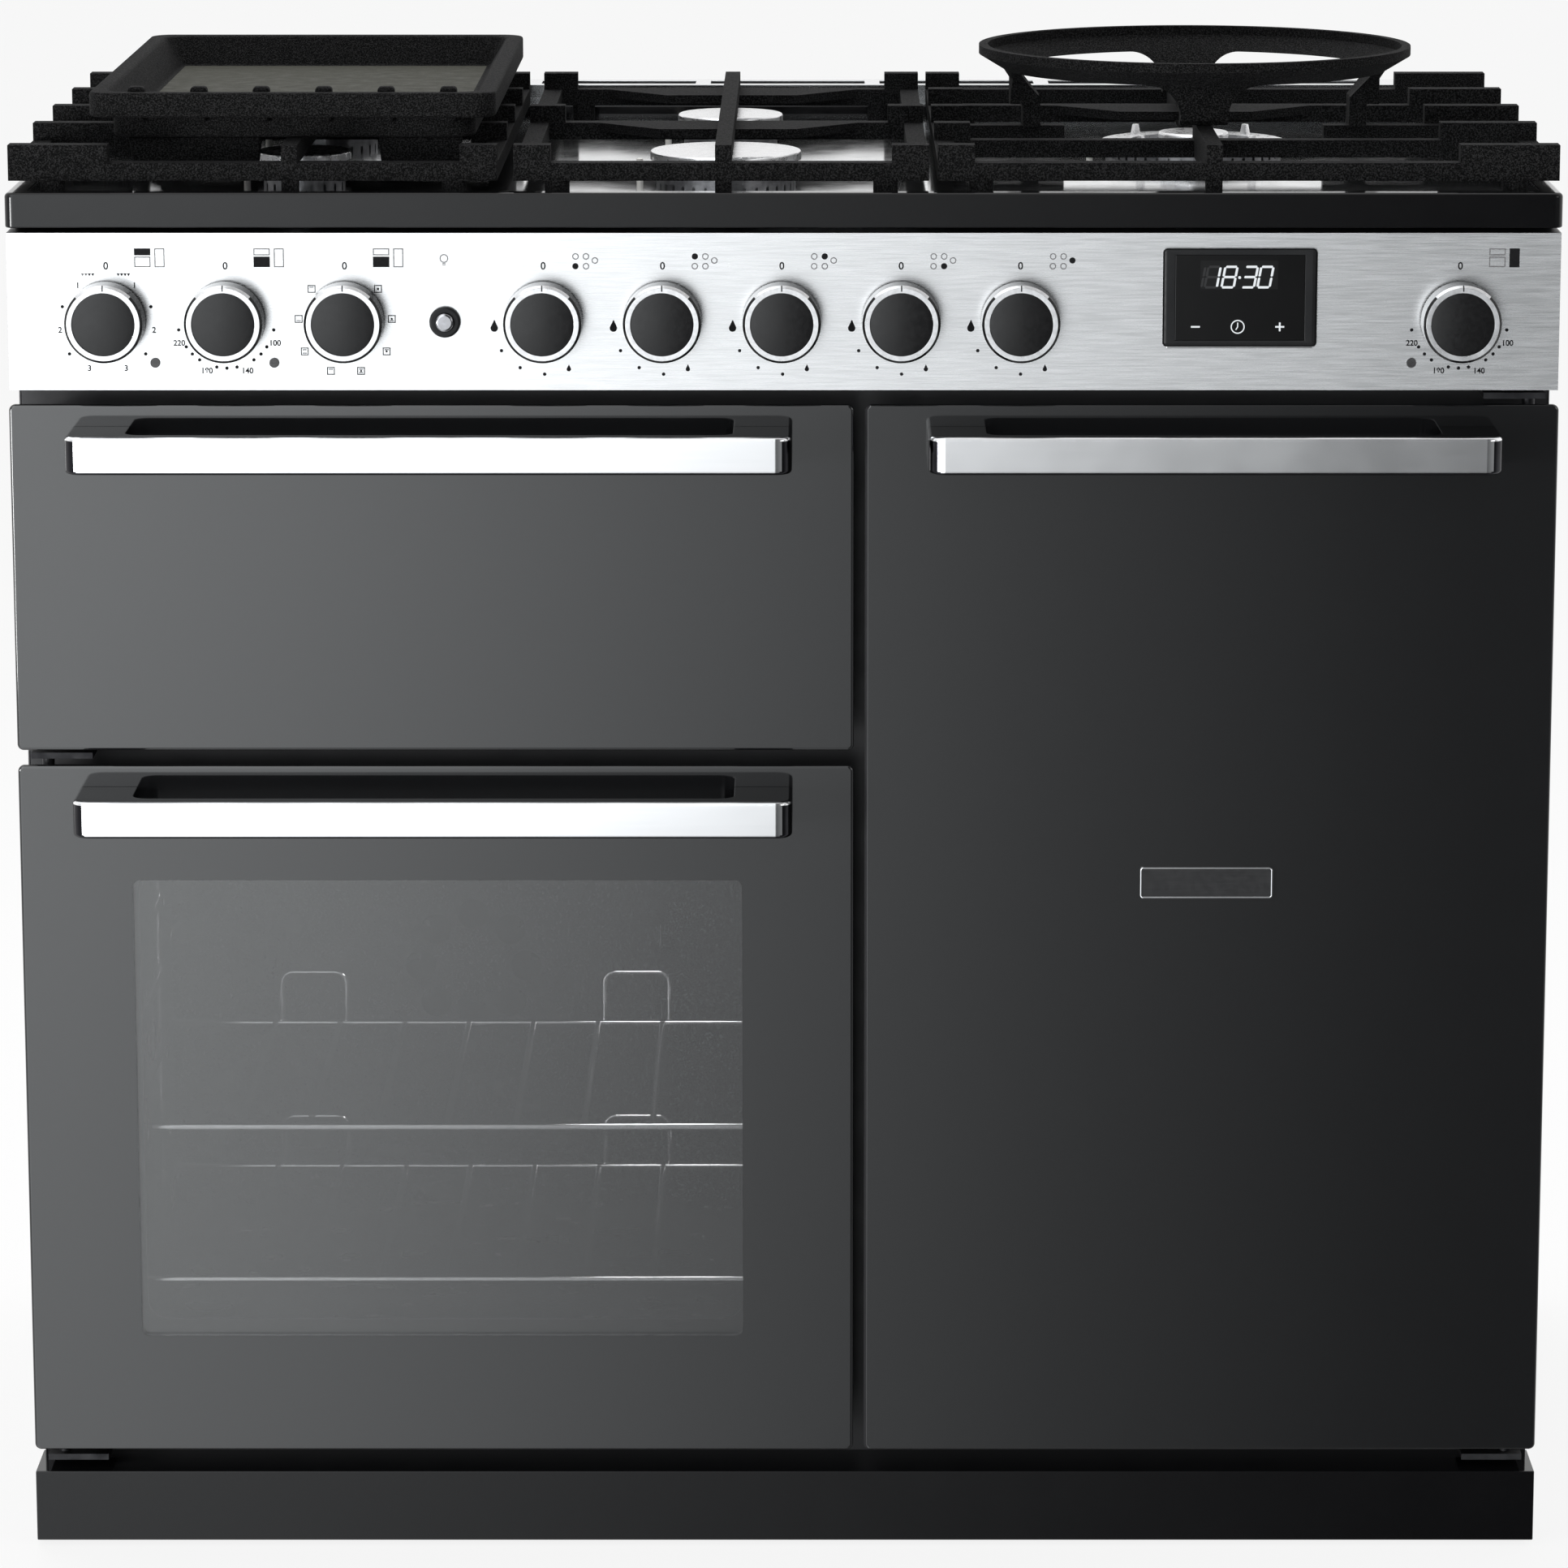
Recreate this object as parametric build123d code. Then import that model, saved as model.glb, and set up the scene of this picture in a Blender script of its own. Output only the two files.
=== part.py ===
from build123d import *
import os
from math import cos, pi, radians, sin

# Overall sizes, in millimetres
WIDTH = 998.0                # across the hob frame and the doors
BODY_DEPTH = 605.0           # door fronts to the back panel
HANDLE_REACH = 50.0          # door front to the front of a handle

# Heights, stacked from the floor to the top of the hob frame
PLINTH_CLEAR = 4.0
PLINTH_HEIGHT = 48.0
PLINTH_GAP = 15.0            # dark gap between the plinth and the doors
LOWER_DOOR_HEIGHT = 464.5
MID_GAP = 10.0               # between the left oven door and the grill door
GRILL_DOOR_HEIGHT = 227.0
PANEL_GAP = 9.5              # between the doors and the control panel
PANEL_HEIGHT = 101.5
HOB_GAP = 3.0
HOB_FRAME_HEIGHT = 22.5

# Casing
SHEET = 1.5                  # steel sheet of the casing and the control panel
BACK_INSET = 2.0             # back panel inside the rear edges of the sides
CASING_INSET = 1.0           # casing sides inside the hob frame, each side
FOOT_HEIGHT = 50.0           # floor to the underside of the base tray
FOOT_PAD_R = 20.0
FOOT_PAD_HEIGHT = 9.0
FOOT_PAD_EDGE = 3.0
FOOT_STEM_R = 6.0
FOOT_NUT_R = 12.0
FOOT_NUT_HEIGHT = 8.0
FOOT_SIDE = 60.0             # foot centre to the casing side
FOOT_FRONT = 120.0           # front feet behind the door fronts
FOOT_REAR = 70.0             # rear feet before the back panel
TRAY_EDGE = 20.0             # upturned edge of the base tray
FRAME_T = 3.0                # front frame plate
FRAME_LAP = 12.0             # front frame behind the control panel
LOUVRE_LENGTH = 180.0
LOUVRE_HEIGHT = 5.0
LOUVRE_PITCH = 16.0
LOUVRE_COUNT = 8
LOUVRE_TOP = 60.0            # highest louvre below the top of the back panel
SLOT_LENGTH = 15.0           # cooling slots in the rail between the doors
SLOT_HEIGHT = 4.0
SLOT_PITCH = 24.0

# Fits
RUN_FIT = 0.05               # radial play of a pin or spindle in its bore
EASY_FIT = 0.5               # loose play round a piece in a sheet cut-out
SEAL_CLEAR = 0.3             # door back to the seal

# Doors
DOOR_SPLIT_X = 48.8          # middle of the gap between left and right doors
DOOR_GAP = 7.0
DOOR_T = 40.0
DOOR_STANDOFF = 8.0          # door back to the front frame
DOOR_SKIN = 4.0              # outer glass or steel skin
DOOR_EDGE_R = 2.0            # rounding of the skin's front edges
DOOR_CORNER_R = 4.0
DOOR_INSET = 10.0            # inner frame inside the skin's edges
DOOR_WALL = 20.0
DOOR_BACK = 2.0
WINDOW_SIDE = 73.0           # window edge to the left door's side edges
WINDOW_BOTTOM = 79.0
WINDOW_TOP = 76.5
WINDOW_R = 14.0
PANE_T = 4.0
PANE_LAP = 10.0              # inner pane behind the window's edge
HANDLE_INSET = 40.0          # handle end to the door's side edge
HANDLE_DROP = 14.0           # handle top below the door's top edge
HANDLE_HEIGHT = 24.3
HANDLE_LEG = 38.0
HANDLE_BAR = 13.0
HANDLE_CORNER_R = 11.0
HANDLE_EDGE = 1.6

# Hinges
HINGE_IN = 18.0              # side hinge axis from the door's side edge
HINGE_BACK = 18.0            # side hinge axis behind the door front
PIN_R = 4.0
PIN_GRIP = 16.0              # pin length inside the door
PIN_END_GAP = 1.0
BRACKET_T = 4.0
BRACKET_ROUND = 10.0         # bracket plate round its pin
BRACKET_REACH = 30.0         # bracket plate inboard of its pin
GRILL_HINGE_UP = 21.0        # grill hinge axis above the door's lower edge
GRILL_HINGE_BACK = 8.0
GRILL_PIN_R = 3.0
GRILL_PIN_LENGTH = 30.0
GRILL_ARM_IN = 60.0          # hinge arm from the door's side edge
GRILL_ARM_W = 5.0
GRILL_ARM_HEIGHT = 6.0
GRILL_ARM_CLEAR = 1.5

# Cavities
MOUTH_SIDE = 50.0            # cavity mouth inside the door's side edges
GRILL_MOUTH_BOTTOM = 32.0
GRILL_MOUTH_TOP = 24.0
OVEN_MOUTH_BOTTOM = 42.0
OVEN_MOUTH_TOP = 45.0
CAVITY_DEPTH = 420.0
LINER_T = 1.5
LINER_FLANGE = 8.0
SEAL_W = 9.0
SEAL_OFF = 3.0               # seal outside the cavity mouth

# Fans behind the ovens
FAN_COVER = 270.0
FAN_BAY = 46.0               # fan cover before the rear wall
FAN_R = 70.0
FAN_DISC_T = 2.0
FAN_WALL_GAP = 8.0           # fan disc before the rear wall
BLADE_HEIGHT = 22.0
BLADE_LENGTH = 28.0
BLADE_T = 1.6
BLADE_COUNT = 10
HUB_R = 11.0
FAN_SHAFT_R = 4.0
FAN_SHAFT_GRIP = 30.0        # shaft inside the motor
FAN_HOLE_R = 7.0
MOTOR_R = 38.0
MOTOR_LENGTH = 52.0
INTAKE_R = 11.0              # round intake holes of a fan cover
INTAKE_RING = 38.0
INTAKE_COUNT = 8
OUTLET_DEPTH = 22.0          # side outlet slots of a fan cover
OUTLET_HEIGHT = 134.0
RING_ELEMENT_R = 96.0
ELEMENT_R = 3.5
ELEMENT_LEG_R = 2.8
ELEMENT_LEG_SPREAD = 24.0

# Grill element, pan and runners
GRILL_RUN_COUNT = 6
GRILL_ELEMENT_PITCH = 58.0
GRILL_ELEMENT_DROP = 24.0    # below the grill cavity's roof
GRILL_ELEMENT_FRONT = 70.0   # first bend behind the front frame
GRILL_ELEMENT_BACK = 60.0    # rear bends before the rear wall
GRILL_ELEMENT_BEND = 26.0
RUNNER_W = 14.0
RUNNER_T = 3.0
RUNNER_UP = 62.0             # runner above the cavity floor
RUNNER_LENGTH = 360.0
RUNNER_FRONT = 20.0          # runner behind the front frame
PAN_RIM = 11.0
PAN_SIDE_GAP = 2.0
PAN_DEPTH = 34.0
PAN_LENGTH = 330.0
PAN_SHEET = 1.5
TRIVET_WIRES = 11
TRIVET_R = 2.5
TRIVET_CLEAR = 4.0           # trivet inside the grill pan's side walls
TRIVET_LAP = 7.0             # trivet wires lying on the front and rear rims

# Racks and ladders
FRAME_WIRE_R = 3.0           # rack side rods and ladder posts
CROSS_WIRE_R = 2.6           # rack front and rear rods, ladder rungs
WIRE_R = 2.2                 # rack wires and loops
CROSS_IN = 8.0               # rack front and rear rods inside the side rods' ends
LOOP_BEND = 8.0
WALL_ROD_X = 8.0             # ladder rung from the liner wall
RACK_ROD_X = 10.0            # rack side rod from the liner wall
RACK_FRONT = 60.0            # rack front behind the door fronts
RACK_DEPTH = 310.0
RACK_WIRES = 7
RACK_PITCH_LEFT = 46.0
RACK_PITCH_RIGHT = 35.0
RACK_LOOP_HEIGHT = 37.0
LOOP_SIDE = 4.6              # loop's upright beside its wire
LADDER_BOTTOM = 56.0         # lowest rack level above the cavity floor
LADDER_PITCH = 53.0
LADDER_COUNT_LEFT = 5
LADDER_COUNT_RIGHT = 10
LADDER_POST_FRONT = 95.0     # ladder posts behind the door fronts
LADDER_POST_REAR = 335.0
LADDER_TAIL = 14.0           # post past its end rungs
RACKS_LEFT = (0, 2)          # rack levels in use
RACKS_RIGHT = (1, 4, 7)

# Hob
HOB_BORDER = 14.0
HOB_CORNER_R = 6.0
HOB_EDGE_R = 3.0
HOB_RECESS = 6.0             # hob plate below the frame's top
HOB_PLATE_T = 1.5
HOB_LEDGE = 5.0
VENT_DEPTH = 45.0
VENT_HEIGHT = 15.0
VENT_INSET = 20.0            # vent ends inside the hob frame's sides
VENT_SLOT = 111.5
VENT_RIB = 11.0
VENT_RAIL = 9.0
VENT_COUNT = 7

# Burners: places are measured from the middle and from the door fronts
LEFT_BURNER_X = -318.0
CENTRE_BURNER_X = -39.0
WOK_X = 277.0
FRONT_BURNER_Y = 151.0
REAR_BURNER_Y = 390.0
WOK_Y = 268.0
SIMMER_R = 31.0
MEDIUM_R = 36.5
RAPID_R = 50.0
WOK_R = 63.5
WOK_RING_W = 20.0            # outer flame ring of the wok burner
WOK_CORE_R = 24.0
CROWN_HEIGHT = 12.0
CROWN_IN = 4.0               # crown inside its cap's edge
CAP_T = 6.0
CAP_EDGE_R = 2.0
WOK_CROWN_HEIGHT = 7.0
WOK_CAP_T = 5.0
WOK_CAP_EDGE_R = 1.6
WOK_TRENCH = 3.5            # sunk floor inside the wok burner's outer ring
CUP_R = 18.0
CUP_DEPTH = 44.0
PORT_W = 2.2
PORT_DEPTH = 3.0
PORT_HEIGHT = 6.0
WOK_PORT_HEIGHT = 3.5
PORT_PITCH = 8.5             # arc length from port to port
PROBE_R = 2.2
PROBE_GAP = 7.0              # probe beyond the burner's cap edge

# Pan supports, places from the door fronts
SUPPORT_HEIGHT = 34.0        # hob plate to the top of the lands
BAR_HEIGHT = 11.5
LAND_RISE = 11.5
BAR_W = 14.0
RAIL_W = 13.0
SPINE_W = 10.5
SPINE_HEIGHT = 13.0          # raised bar over the burners
ROW_FRONT = 26.0
ROW_SECOND = 165.0
ROW_MIDDLE = 279.0
ROW_FOURTH = 396.0
SUPPORT_REAR_CLEAR = 35.0    # rear bars before the rear vent
LEFT_SUPPORT_X1 = -184.5
CENTRE_SUPPORT_X0 = -174.0
CENTRE_SUPPORT_X1 = 93.5
RIGHT_SUPPORT_X0 = 99.0
OUTER_LAND = 64.0
INNER_LAND = 24.0
GUSSET_BASE = 88.0
GUSSET_TIP = 46.0
GUSSET_REACH = 42.0
GUSSET_T = 6.0
SUPPORT_FOOT_R = 8.0
SUPPORT_FOOT_IN = 28.0
WOK_FINGER_GAP = 80.0        # spine finger's tip to the wok burner's centre
WOK_SEAT_GAP = 88.0          # side finger's tip to the wok burner's centre

# Griddle and wok ring
GRIDDLE_W = 264.0
GRIDDLE_DEPTH = 427.0
GRIDDLE_X = -319.0
GRIDDLE_FRONT = 60.0
GRIDDLE_HEIGHT = 30.0
GRIDDLE_LIP = 16.0
GRIDDLE_RIM = 11.0
GRIDDLE_FLOOR = 10.0
GRIDDLE_WALL_IN = 14.0       # body inside the lip
GRIDDLE_CORNER_R = 16.0
GRIDDLE_SLOPE = 32.0         # degrees that the inner walls lean
WOK_RING_R = 146.0
WOK_RING_HEIGHT = 43.0       # above the support's lands
WOK_RING_BAND = 16.0
WOK_RING_RIM = 6.0           # upright rim above the leaning wall
WOK_RING_WALL = 6.0
WOK_RING_LEAN = 16.5         # wall's foot inside its rim
WOK_LEG_OUT = 125.5
WOK_LEG_STEP = 117.0
WOK_LEG_IN = 105.5
WOK_LEG_KNEE = 8.0           # top of the upright foot above the support's lands
WOK_LEG_REST = 3.5           # stepped outer foot above the support's lands
WOK_LEG_FOOT = 32.0
WOK_LEG_TOP = 76.0
WOK_LEG_WAIST = 40.0
WOK_WAIST_DROP = 9.0         # waist below the ring's band

# Control panel, places from the middle and from the panel's lower edge
PANEL_INSET = 1.0
KNOB_Z = 45.5
KNOB_PITCH = 76.5
OVEN_KNOB_X = -434.5         # first of the three left knobs
GAS_KNOB_X = -154.2          # first of the five gas knobs
RIGHT_KNOB_X = 433.7
KNOB_SKIRT_R = 25.3
KNOB_FRONT_R = 25.0
KNOB_FACE_R = 20.3
KNOB_GAP = 5.0               # knob back before the panel
KNOB_DEPTH = 19.0
KNOB_EDGE = 1.6
FACE_T = 1.4
FACE_SUNK = 0.3
SPINDLE_R = 4.0
SPINDLE_BACK = 34.0          # spindle behind the panel's face
SPINDLE_SEAT = 14.0          # spindle bore in a knob
GAS_PUSH = 4.0
PANEL_HOLE_R = 6.0
TAP_W = 24.0
TAP_HEIGHT = 28.0
TAP_DEPTH = 38.0
RAIL_SIZE = 16.0             # square gas rail under the taps
RAIL_END = 26.0              # rail past the end taps
SWITCH_W = 40.0
SWITCH_HEIGHT = 36.0
SWITCH_DEPTH = 38.0
LIGHT_X = -217.5
LIGHT_Z = 44.3
LIGHT_RING_R = 10.0
LIGHT_RING_T = 4.0
LIGHT_RING_EDGE = 1.0
LIGHT_BARREL_R = 8.5
LIGHT_BARREL_DEPTH = 22.0
BUTTON_R = 6.0
BUTTON_IN = 12.0
BUTTON_TRAVEL = 2.5          # button before its ring
BUTTON_DOME = 1.8
LAMP_R = 3.2
LAMP_T = 1.2
LAMP_STEM_R = 2.5
LAMP_STEM = 12.0
LAMP_Z = 17.8
LAMP_SIDE = 30.5             # lamp from its knob's axis
TIMER_X = 292.5
TIMER_Z = 60.1
TIMER_W = 99.0
TIMER_HEIGHT = 63.3
TIMER_PROUD = 3.0
TIMER_GLASS_W = 83.0
TIMER_GLASS_HEIGHT = 55.0
TIMER_GLASS_T = 1.6
TIMER_BODY_DEPTH = 18.0
TIMER_BODY_IN = 6.0          # timer body inside its bezel's edges

# Gas pipes and rear inlets
PIPE_R = 4.0
PIPE_BEND = 14.0
PIPE_LOW = 20.0              # low feed level above the taps
PIPE_HIGH = 32.0             # high feed level above the taps
MAIN_PIPE_R = 7.5
MAIN_PIPE_BEND = 25.0
MAIN_PIPE_SIDE = 114.0       # rear inlet from the right side
INLET_R = 16.0
INLET_LENGTH = 32.0
INLET_BORE_R = 9.3
INLET_BORE_DEPTH = 18.0
TERMINAL_SIDE = 119.0        # terminal box from the left side
TERMINAL_Z = 690.0
TERMINAL_W = 90.0
TERMINAL_HEIGHT = 60.0
TERMINAL_DEPTH = 40.0
GLAND_R = 15.0
GLAND_LENGTH = 26.0
GLAND_BORE_R = 8.0
GLAND_NUT_R = 20.0
GLAND_NUT_T = 5.0

# Places worked out from the sizes above
HALF = WIDTH / 2
MAIN_PIPE_X = HALF - MAIN_PIPE_SIDE
TERMINAL_X = -HALF + TERMINAL_SIDE
ROW_REAR = BODY_DEPTH - VENT_DEPTH - SUPPORT_REAR_CLEAR - BAR_W
Y_DOOR = (HANDLE_REACH - BODY_DEPTH) / 2
Y_BACK = Y_DOOR + BODY_DEPTH
Y_FRAME = Y_DOOR + DOOR_T + DOOR_STANDOFF
Y_CAVITY = Y_FRAME + FRAME_T
Y_WALL = Y_CAVITY + CAVITY_DEPTH
Z_PLINTH = PLINTH_CLEAR + PLINTH_HEIGHT
Z_DOORS = Z_PLINTH + PLINTH_GAP
Z_LOWER_TOP = Z_DOORS + LOWER_DOOR_HEIGHT
Z_GRILL = Z_LOWER_TOP + MID_GAP
Z_DOORS_TOP = Z_GRILL + GRILL_DOOR_HEIGHT
Z_PANEL = Z_DOORS_TOP + PANEL_GAP
Z_PANEL_TOP = Z_PANEL + PANEL_HEIGHT
Z_HOB = Z_PANEL_TOP + HOB_GAP
Z_HOB_TOP = Z_HOB + HOB_FRAME_HEIGHT
Z_PLATE = Z_HOB_TOP - HOB_RECESS
Z_BARS = Z_PLATE + SUPPORT_HEIGHT - LAND_RISE - BAR_HEIGHT
Z_BARS_TOP = Z_BARS + BAR_HEIGHT
Z_LANDS = Z_PLATE + SUPPORT_HEIGHT
CASING_X = HALF - CASING_INSET
INSIDE_X = CASING_X - SHEET
LEFT_DOOR_X1 = DOOR_SPLIT_X - DOOR_GAP / 2
RIGHT_DOOR_X0 = DOOR_SPLIT_X + DOOR_GAP / 2
LEFT_CAVITY = (-HALF + MOUTH_SIDE, LEFT_DOOR_X1 - MOUTH_SIDE)
RIGHT_CAVITY = (RIGHT_DOOR_X0 + MOUTH_SIDE, HALF - MOUTH_SIDE)
GRILL_LEVELS = (Z_GRILL + GRILL_MOUTH_BOTTOM, Z_DOORS_TOP - GRILL_MOUTH_TOP)
LEFT_LEVELS = (Z_DOORS + OVEN_MOUTH_BOTTOM, Z_LOWER_TOP - OVEN_MOUTH_TOP)
RIGHT_LEVELS = (Z_DOORS + OVEN_MOUTH_BOTTOM, Z_DOORS_TOP - OVEN_MOUTH_TOP)
Z_KNOBS = Z_PANEL + KNOB_Z
PAST = 2.0                   # how far a cutting tool runs past a face

os.makedirs("parts", exist_ok=True)


def save(node, *pieces):
    """Write one node: a single solid, or a group of separate solids."""
    solids = [solid for piece in pieces for solid in piece.solids()]
    export_step(Compound(solids), f"parts/{node}.step")


def block(x, y, z):
    """A box from three (low, high) pairs."""
    size = Box(x[1] - x[0], y[1] - y[0], z[1] - z[0])
    return Pos((x[0] + x[1]) / 2, (y[0] + y[1]) / 2, (z[0] + z[1]) / 2) * size


def rod_x(radius, x, y, z):
    return Pos((x[0] + x[1]) / 2, y, z) * Rot(0, 90, 0) * Cylinder(radius, x[1] - x[0])


def rod_y(radius, x, y, z):
    return Pos(x, (y[0] + y[1]) / 2, z) * Rot(90, 0, 0) * Cylinder(radius, y[1] - y[0])


def rod_z(radius, x, y, z):
    return Pos(x, y, (z[0] + z[1]) / 2) * Cylinder(radius, z[1] - z[0])


def turned(points):
    """A solid of revolution about Z from (radius, height) points."""
    outline = Polyline([(r, 0, h) for r, h in points], close=True)
    return revolve(make_face(outline), Axis.Z)


def on_panel(x, z, solid):
    """Put a piece made along +Z on the control panel, pointing forwards."""
    return Pos(x, Y_DOOR, z) * Rot(90, 0, 0) * solid


def both_sides(make):
    return [make(-1), make(1)]


# Casing: side panels, back panel with louvres, base tray and feet
def side_panel(side):
    x = sorted((side * INSIDE_X, side * CASING_X))
    return block(x, (Y_FRAME, Y_BACK), (FOOT_HEIGHT, Z_HOB))


Z_INLET = Z_KNOBS - TAP_HEIGHT / 2 - RAIL_SIZE / 2
Y_SHEET = Y_BACK - BACK_INSET
back_panel = block((-INSIDE_X, INSIDE_X), (Y_SHEET - SHEET, Y_SHEET), (FOOT_HEIGHT, Z_HOB))
louvre = Box(LOUVRE_LENGTH, SHEET + 2 * PAST, LOUVRE_HEIGHT)
louvres = [
    Pos(0, Y_SHEET, Z_HOB - LOUVRE_TOP - row * LOUVRE_PITCH) * louvre
    for row in range(LOUVRE_COUNT)
]
inlet_hole = rod_y(INLET_R + EASY_FIT, MAIN_PIPE_X, (Y_SHEET - SHEET - PAST, Y_SHEET + PAST), Z_INLET)
gland_hole = rod_y(GLAND_R + EASY_FIT, TERMINAL_X, (Y_SHEET - SHEET - PAST, Y_SHEET + PAST), TERMINAL_Z)
back_panel = back_panel - louvres - inlet_hole - gland_hole
base_tray = block((-INSIDE_X, INSIDE_X), (Y_CAVITY, Y_SHEET - SHEET),
                  (FOOT_HEIGHT, FOOT_HEIGHT + TRAY_EDGE))
base_tray -= block((-INSIDE_X + SHEET, INSIDE_X - SHEET), (Y_CAVITY + SHEET, Y_SHEET - 2 * SHEET),
                   (FOOT_HEIGHT + SHEET, FOOT_HEIGHT + TRAY_EDGE + PAST))


def levelling_foot():
    """A round pad on a threaded stem, with a hexagon lock nut under the tray."""
    pad = Pos(0, 0, FOOT_PAD_HEIGHT / 2) * Cylinder(FOOT_PAD_R, FOOT_PAD_HEIGHT)
    pad = chamfer(pad.edges().group_by(Axis.Z)[-1], FOOT_PAD_EDGE)
    stem = rod_z(FOOT_STEM_R, 0, 0, (FOOT_PAD_HEIGHT, FOOT_HEIGHT))
    nut = extrude(RegularPolygon(FOOT_NUT_R, 6), FOOT_NUT_HEIGHT)
    return pad + stem + Pos(0, 0, FOOT_HEIGHT - FOOT_NUT_HEIGHT) * nut


foot_places = [
    (x, y)
    for x in (-CASING_X + FOOT_SIDE, CASING_X - FOOT_SIDE)
    for y in (Y_DOOR + FOOT_FRONT, Y_BACK - FOOT_REAR)
]
save("side_panels", *both_sides(side_panel))
save("back_panel", back_panel)
save("base_tray", base_tray)
save("levelling_feet", *[Pos(x, y, 0) * levelling_foot() for x, y in foot_places])

# Front frame: the steel face behind the doors, with three mouths and cooling slots
front_frame = block((-INSIDE_X, INSIDE_X), (Y_FRAME, Y_CAVITY), (FOOT_HEIGHT, Z_PANEL + FRAME_LAP))
mouths = ((LEFT_CAVITY, GRILL_LEVELS), (LEFT_CAVITY, LEFT_LEVELS), (RIGHT_CAVITY, RIGHT_LEVELS))
for across, levels in mouths:
    front_frame -= block(across, (Y_FRAME - PAST, Y_CAVITY + PAST), levels)
slot_space = LEFT_CAVITY[1] - LEFT_CAVITY[0]
slot_count = int(slot_space // SLOT_PITCH)
slot = Box(SLOT_LENGTH, FRAME_T + 2 * PAST, SLOT_HEIGHT)
slot_middle = (LEFT_CAVITY[0] + LEFT_CAVITY[1]) / 2
slot_z = (Z_LOWER_TOP + Z_GRILL) / 2
front_frame -= [
    Pos(slot_middle + (i - (slot_count - 1) / 2) * SLOT_PITCH, Y_FRAME, slot_z) * slot
    for i in range(slot_count)
]
save("front_frame", front_frame)

# Plinth: a folded steel skirt, open behind and below
plinth = block((-HALF, HALF), (Y_DOOR, Y_FRAME), (PLINTH_CLEAR, Z_PLINTH))
plinth -= block((-HALF + SHEET, HALF - SHEET), (Y_DOOR + SHEET, Y_FRAME + PAST),
                (PLINTH_CLEAR - PAST, Z_PLINTH - SHEET))
save("plinth", plinth)

# Hob frame: an enamelled rim that seats the hob plate on a ledge
Y_PLATE = (Y_DOOR + HOB_BORDER, Y_BACK - VENT_DEPTH)
X_PLATE = (-HALF + HOB_BORDER, HALF - HOB_BORDER)
VENT_X = (-HALF + VENT_INSET, HALF - VENT_INSET)
VENT_Y = (Y_BACK - VENT_DEPTH + SHEET, Y_BACK - SHEET)
hob_frame = block((-HALF, HALF), (Y_DOOR, Y_BACK), (Z_HOB, Z_HOB_TOP))
hob_frame = fillet(hob_frame.edges().filter_by(Axis.Z), HOB_CORNER_R)
hob_frame = fillet(hob_frame.edges().group_by(Axis.Z)[-1], HOB_EDGE_R)
hob_frame -= block(X_PLATE, Y_PLATE, (Z_PLATE - HOB_PLATE_T, Z_HOB_TOP + PAST))
hob_frame -= block((X_PLATE[0] + HOB_LEDGE, X_PLATE[1] - HOB_LEDGE),
                   (Y_PLATE[0] + HOB_LEDGE, Y_PLATE[1] - HOB_LEDGE), (Z_HOB - PAST, Z_HOB_TOP))
hob_frame -= block((VENT_X[0] + VENT_RAIL, VENT_X[1] - VENT_RAIL),
                   (VENT_Y[0] + VENT_RAIL, VENT_Y[1] - VENT_RAIL), (Z_HOB - PAST, Z_HOB_TOP + PAST))
save("hob_frame", hob_frame)

# Rear vent: a steel channel with long slots, standing on the hob frame's rear border
rear_vent = block(VENT_X, VENT_Y, (Z_HOB_TOP, Z_HOB_TOP + VENT_HEIGHT))
rear_vent -= block((VENT_X[0] + SHEET, VENT_X[1] - SHEET), (VENT_Y[0] + SHEET, VENT_Y[1] - SHEET),
                   (Z_HOB_TOP - PAST, Z_HOB_TOP + VENT_HEIGHT - SHEET))
vent_slot = Box(VENT_SLOT, VENT_Y[1] - VENT_Y[0] - 2 * VENT_RAIL, 2 * VENT_HEIGHT)
rear_vent -= [
    Pos((i - (VENT_COUNT - 1) / 2) * (VENT_SLOT + VENT_RIB), (VENT_Y[0] + VENT_Y[1]) / 2,
        Z_HOB_TOP + VENT_HEIGHT) * vent_slot
    for i in range(VENT_COUNT)
]
save("rear_vent", rear_vent)

# Burners: crowns with gas ports through the hob plate, loose caps on top, a spark probe each
FRONT_LEFT = (LEFT_BURNER_X, Y_DOOR + FRONT_BURNER_Y, SIMMER_R)
REAR_LEFT = (LEFT_BURNER_X, Y_DOOR + REAR_BURNER_Y, MEDIUM_R)
REAR_CENTRE = (CENTRE_BURNER_X, Y_DOOR + REAR_BURNER_Y, MEDIUM_R)
FRONT_CENTRE = (CENTRE_BURNER_X, Y_DOOR + FRONT_BURNER_Y, RAPID_R)
WOK = (WOK_X, Y_DOOR + WOK_Y, WOK_R)
ROUND_BURNERS = (FRONT_LEFT, REAR_LEFT, REAR_CENTRE, FRONT_CENTRE)
ALL_BURNERS = ROUND_BURNERS + (WOK,)


def ports(radius, height, middle_z):
    """Cutters for the ring of flame ports round a crown."""
    count = int(2 * pi * radius // PORT_PITCH)
    tooth = Box(2 * PORT_DEPTH, PORT_W, height)
    return [
        Rot(0, 0, 360 * i / count) * Pos(radius, 0, middle_z) * tooth
        for i in range(count)
    ]


def crown(cap_radius):
    radius = cap_radius - CROWN_IN
    body = rod_z(radius, 0, 0, (Z_PLATE, Z_PLATE + CROWN_HEIGHT))
    cup = rod_z(CUP_R, 0, 0, (Z_PLATE - CUP_DEPTH, Z_PLATE))
    return body + cup - ports(radius, PORT_HEIGHT, Z_PLATE + PORT_HEIGHT)


def cap(radius):
    disc = rod_z(radius, 0, 0, (Z_PLATE + CROWN_HEIGHT, Z_PLATE + CROWN_HEIGHT + CAP_T))
    return fillet(disc.edges().group_by(Axis.Z)[-1], CAP_EDGE_R)


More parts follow.
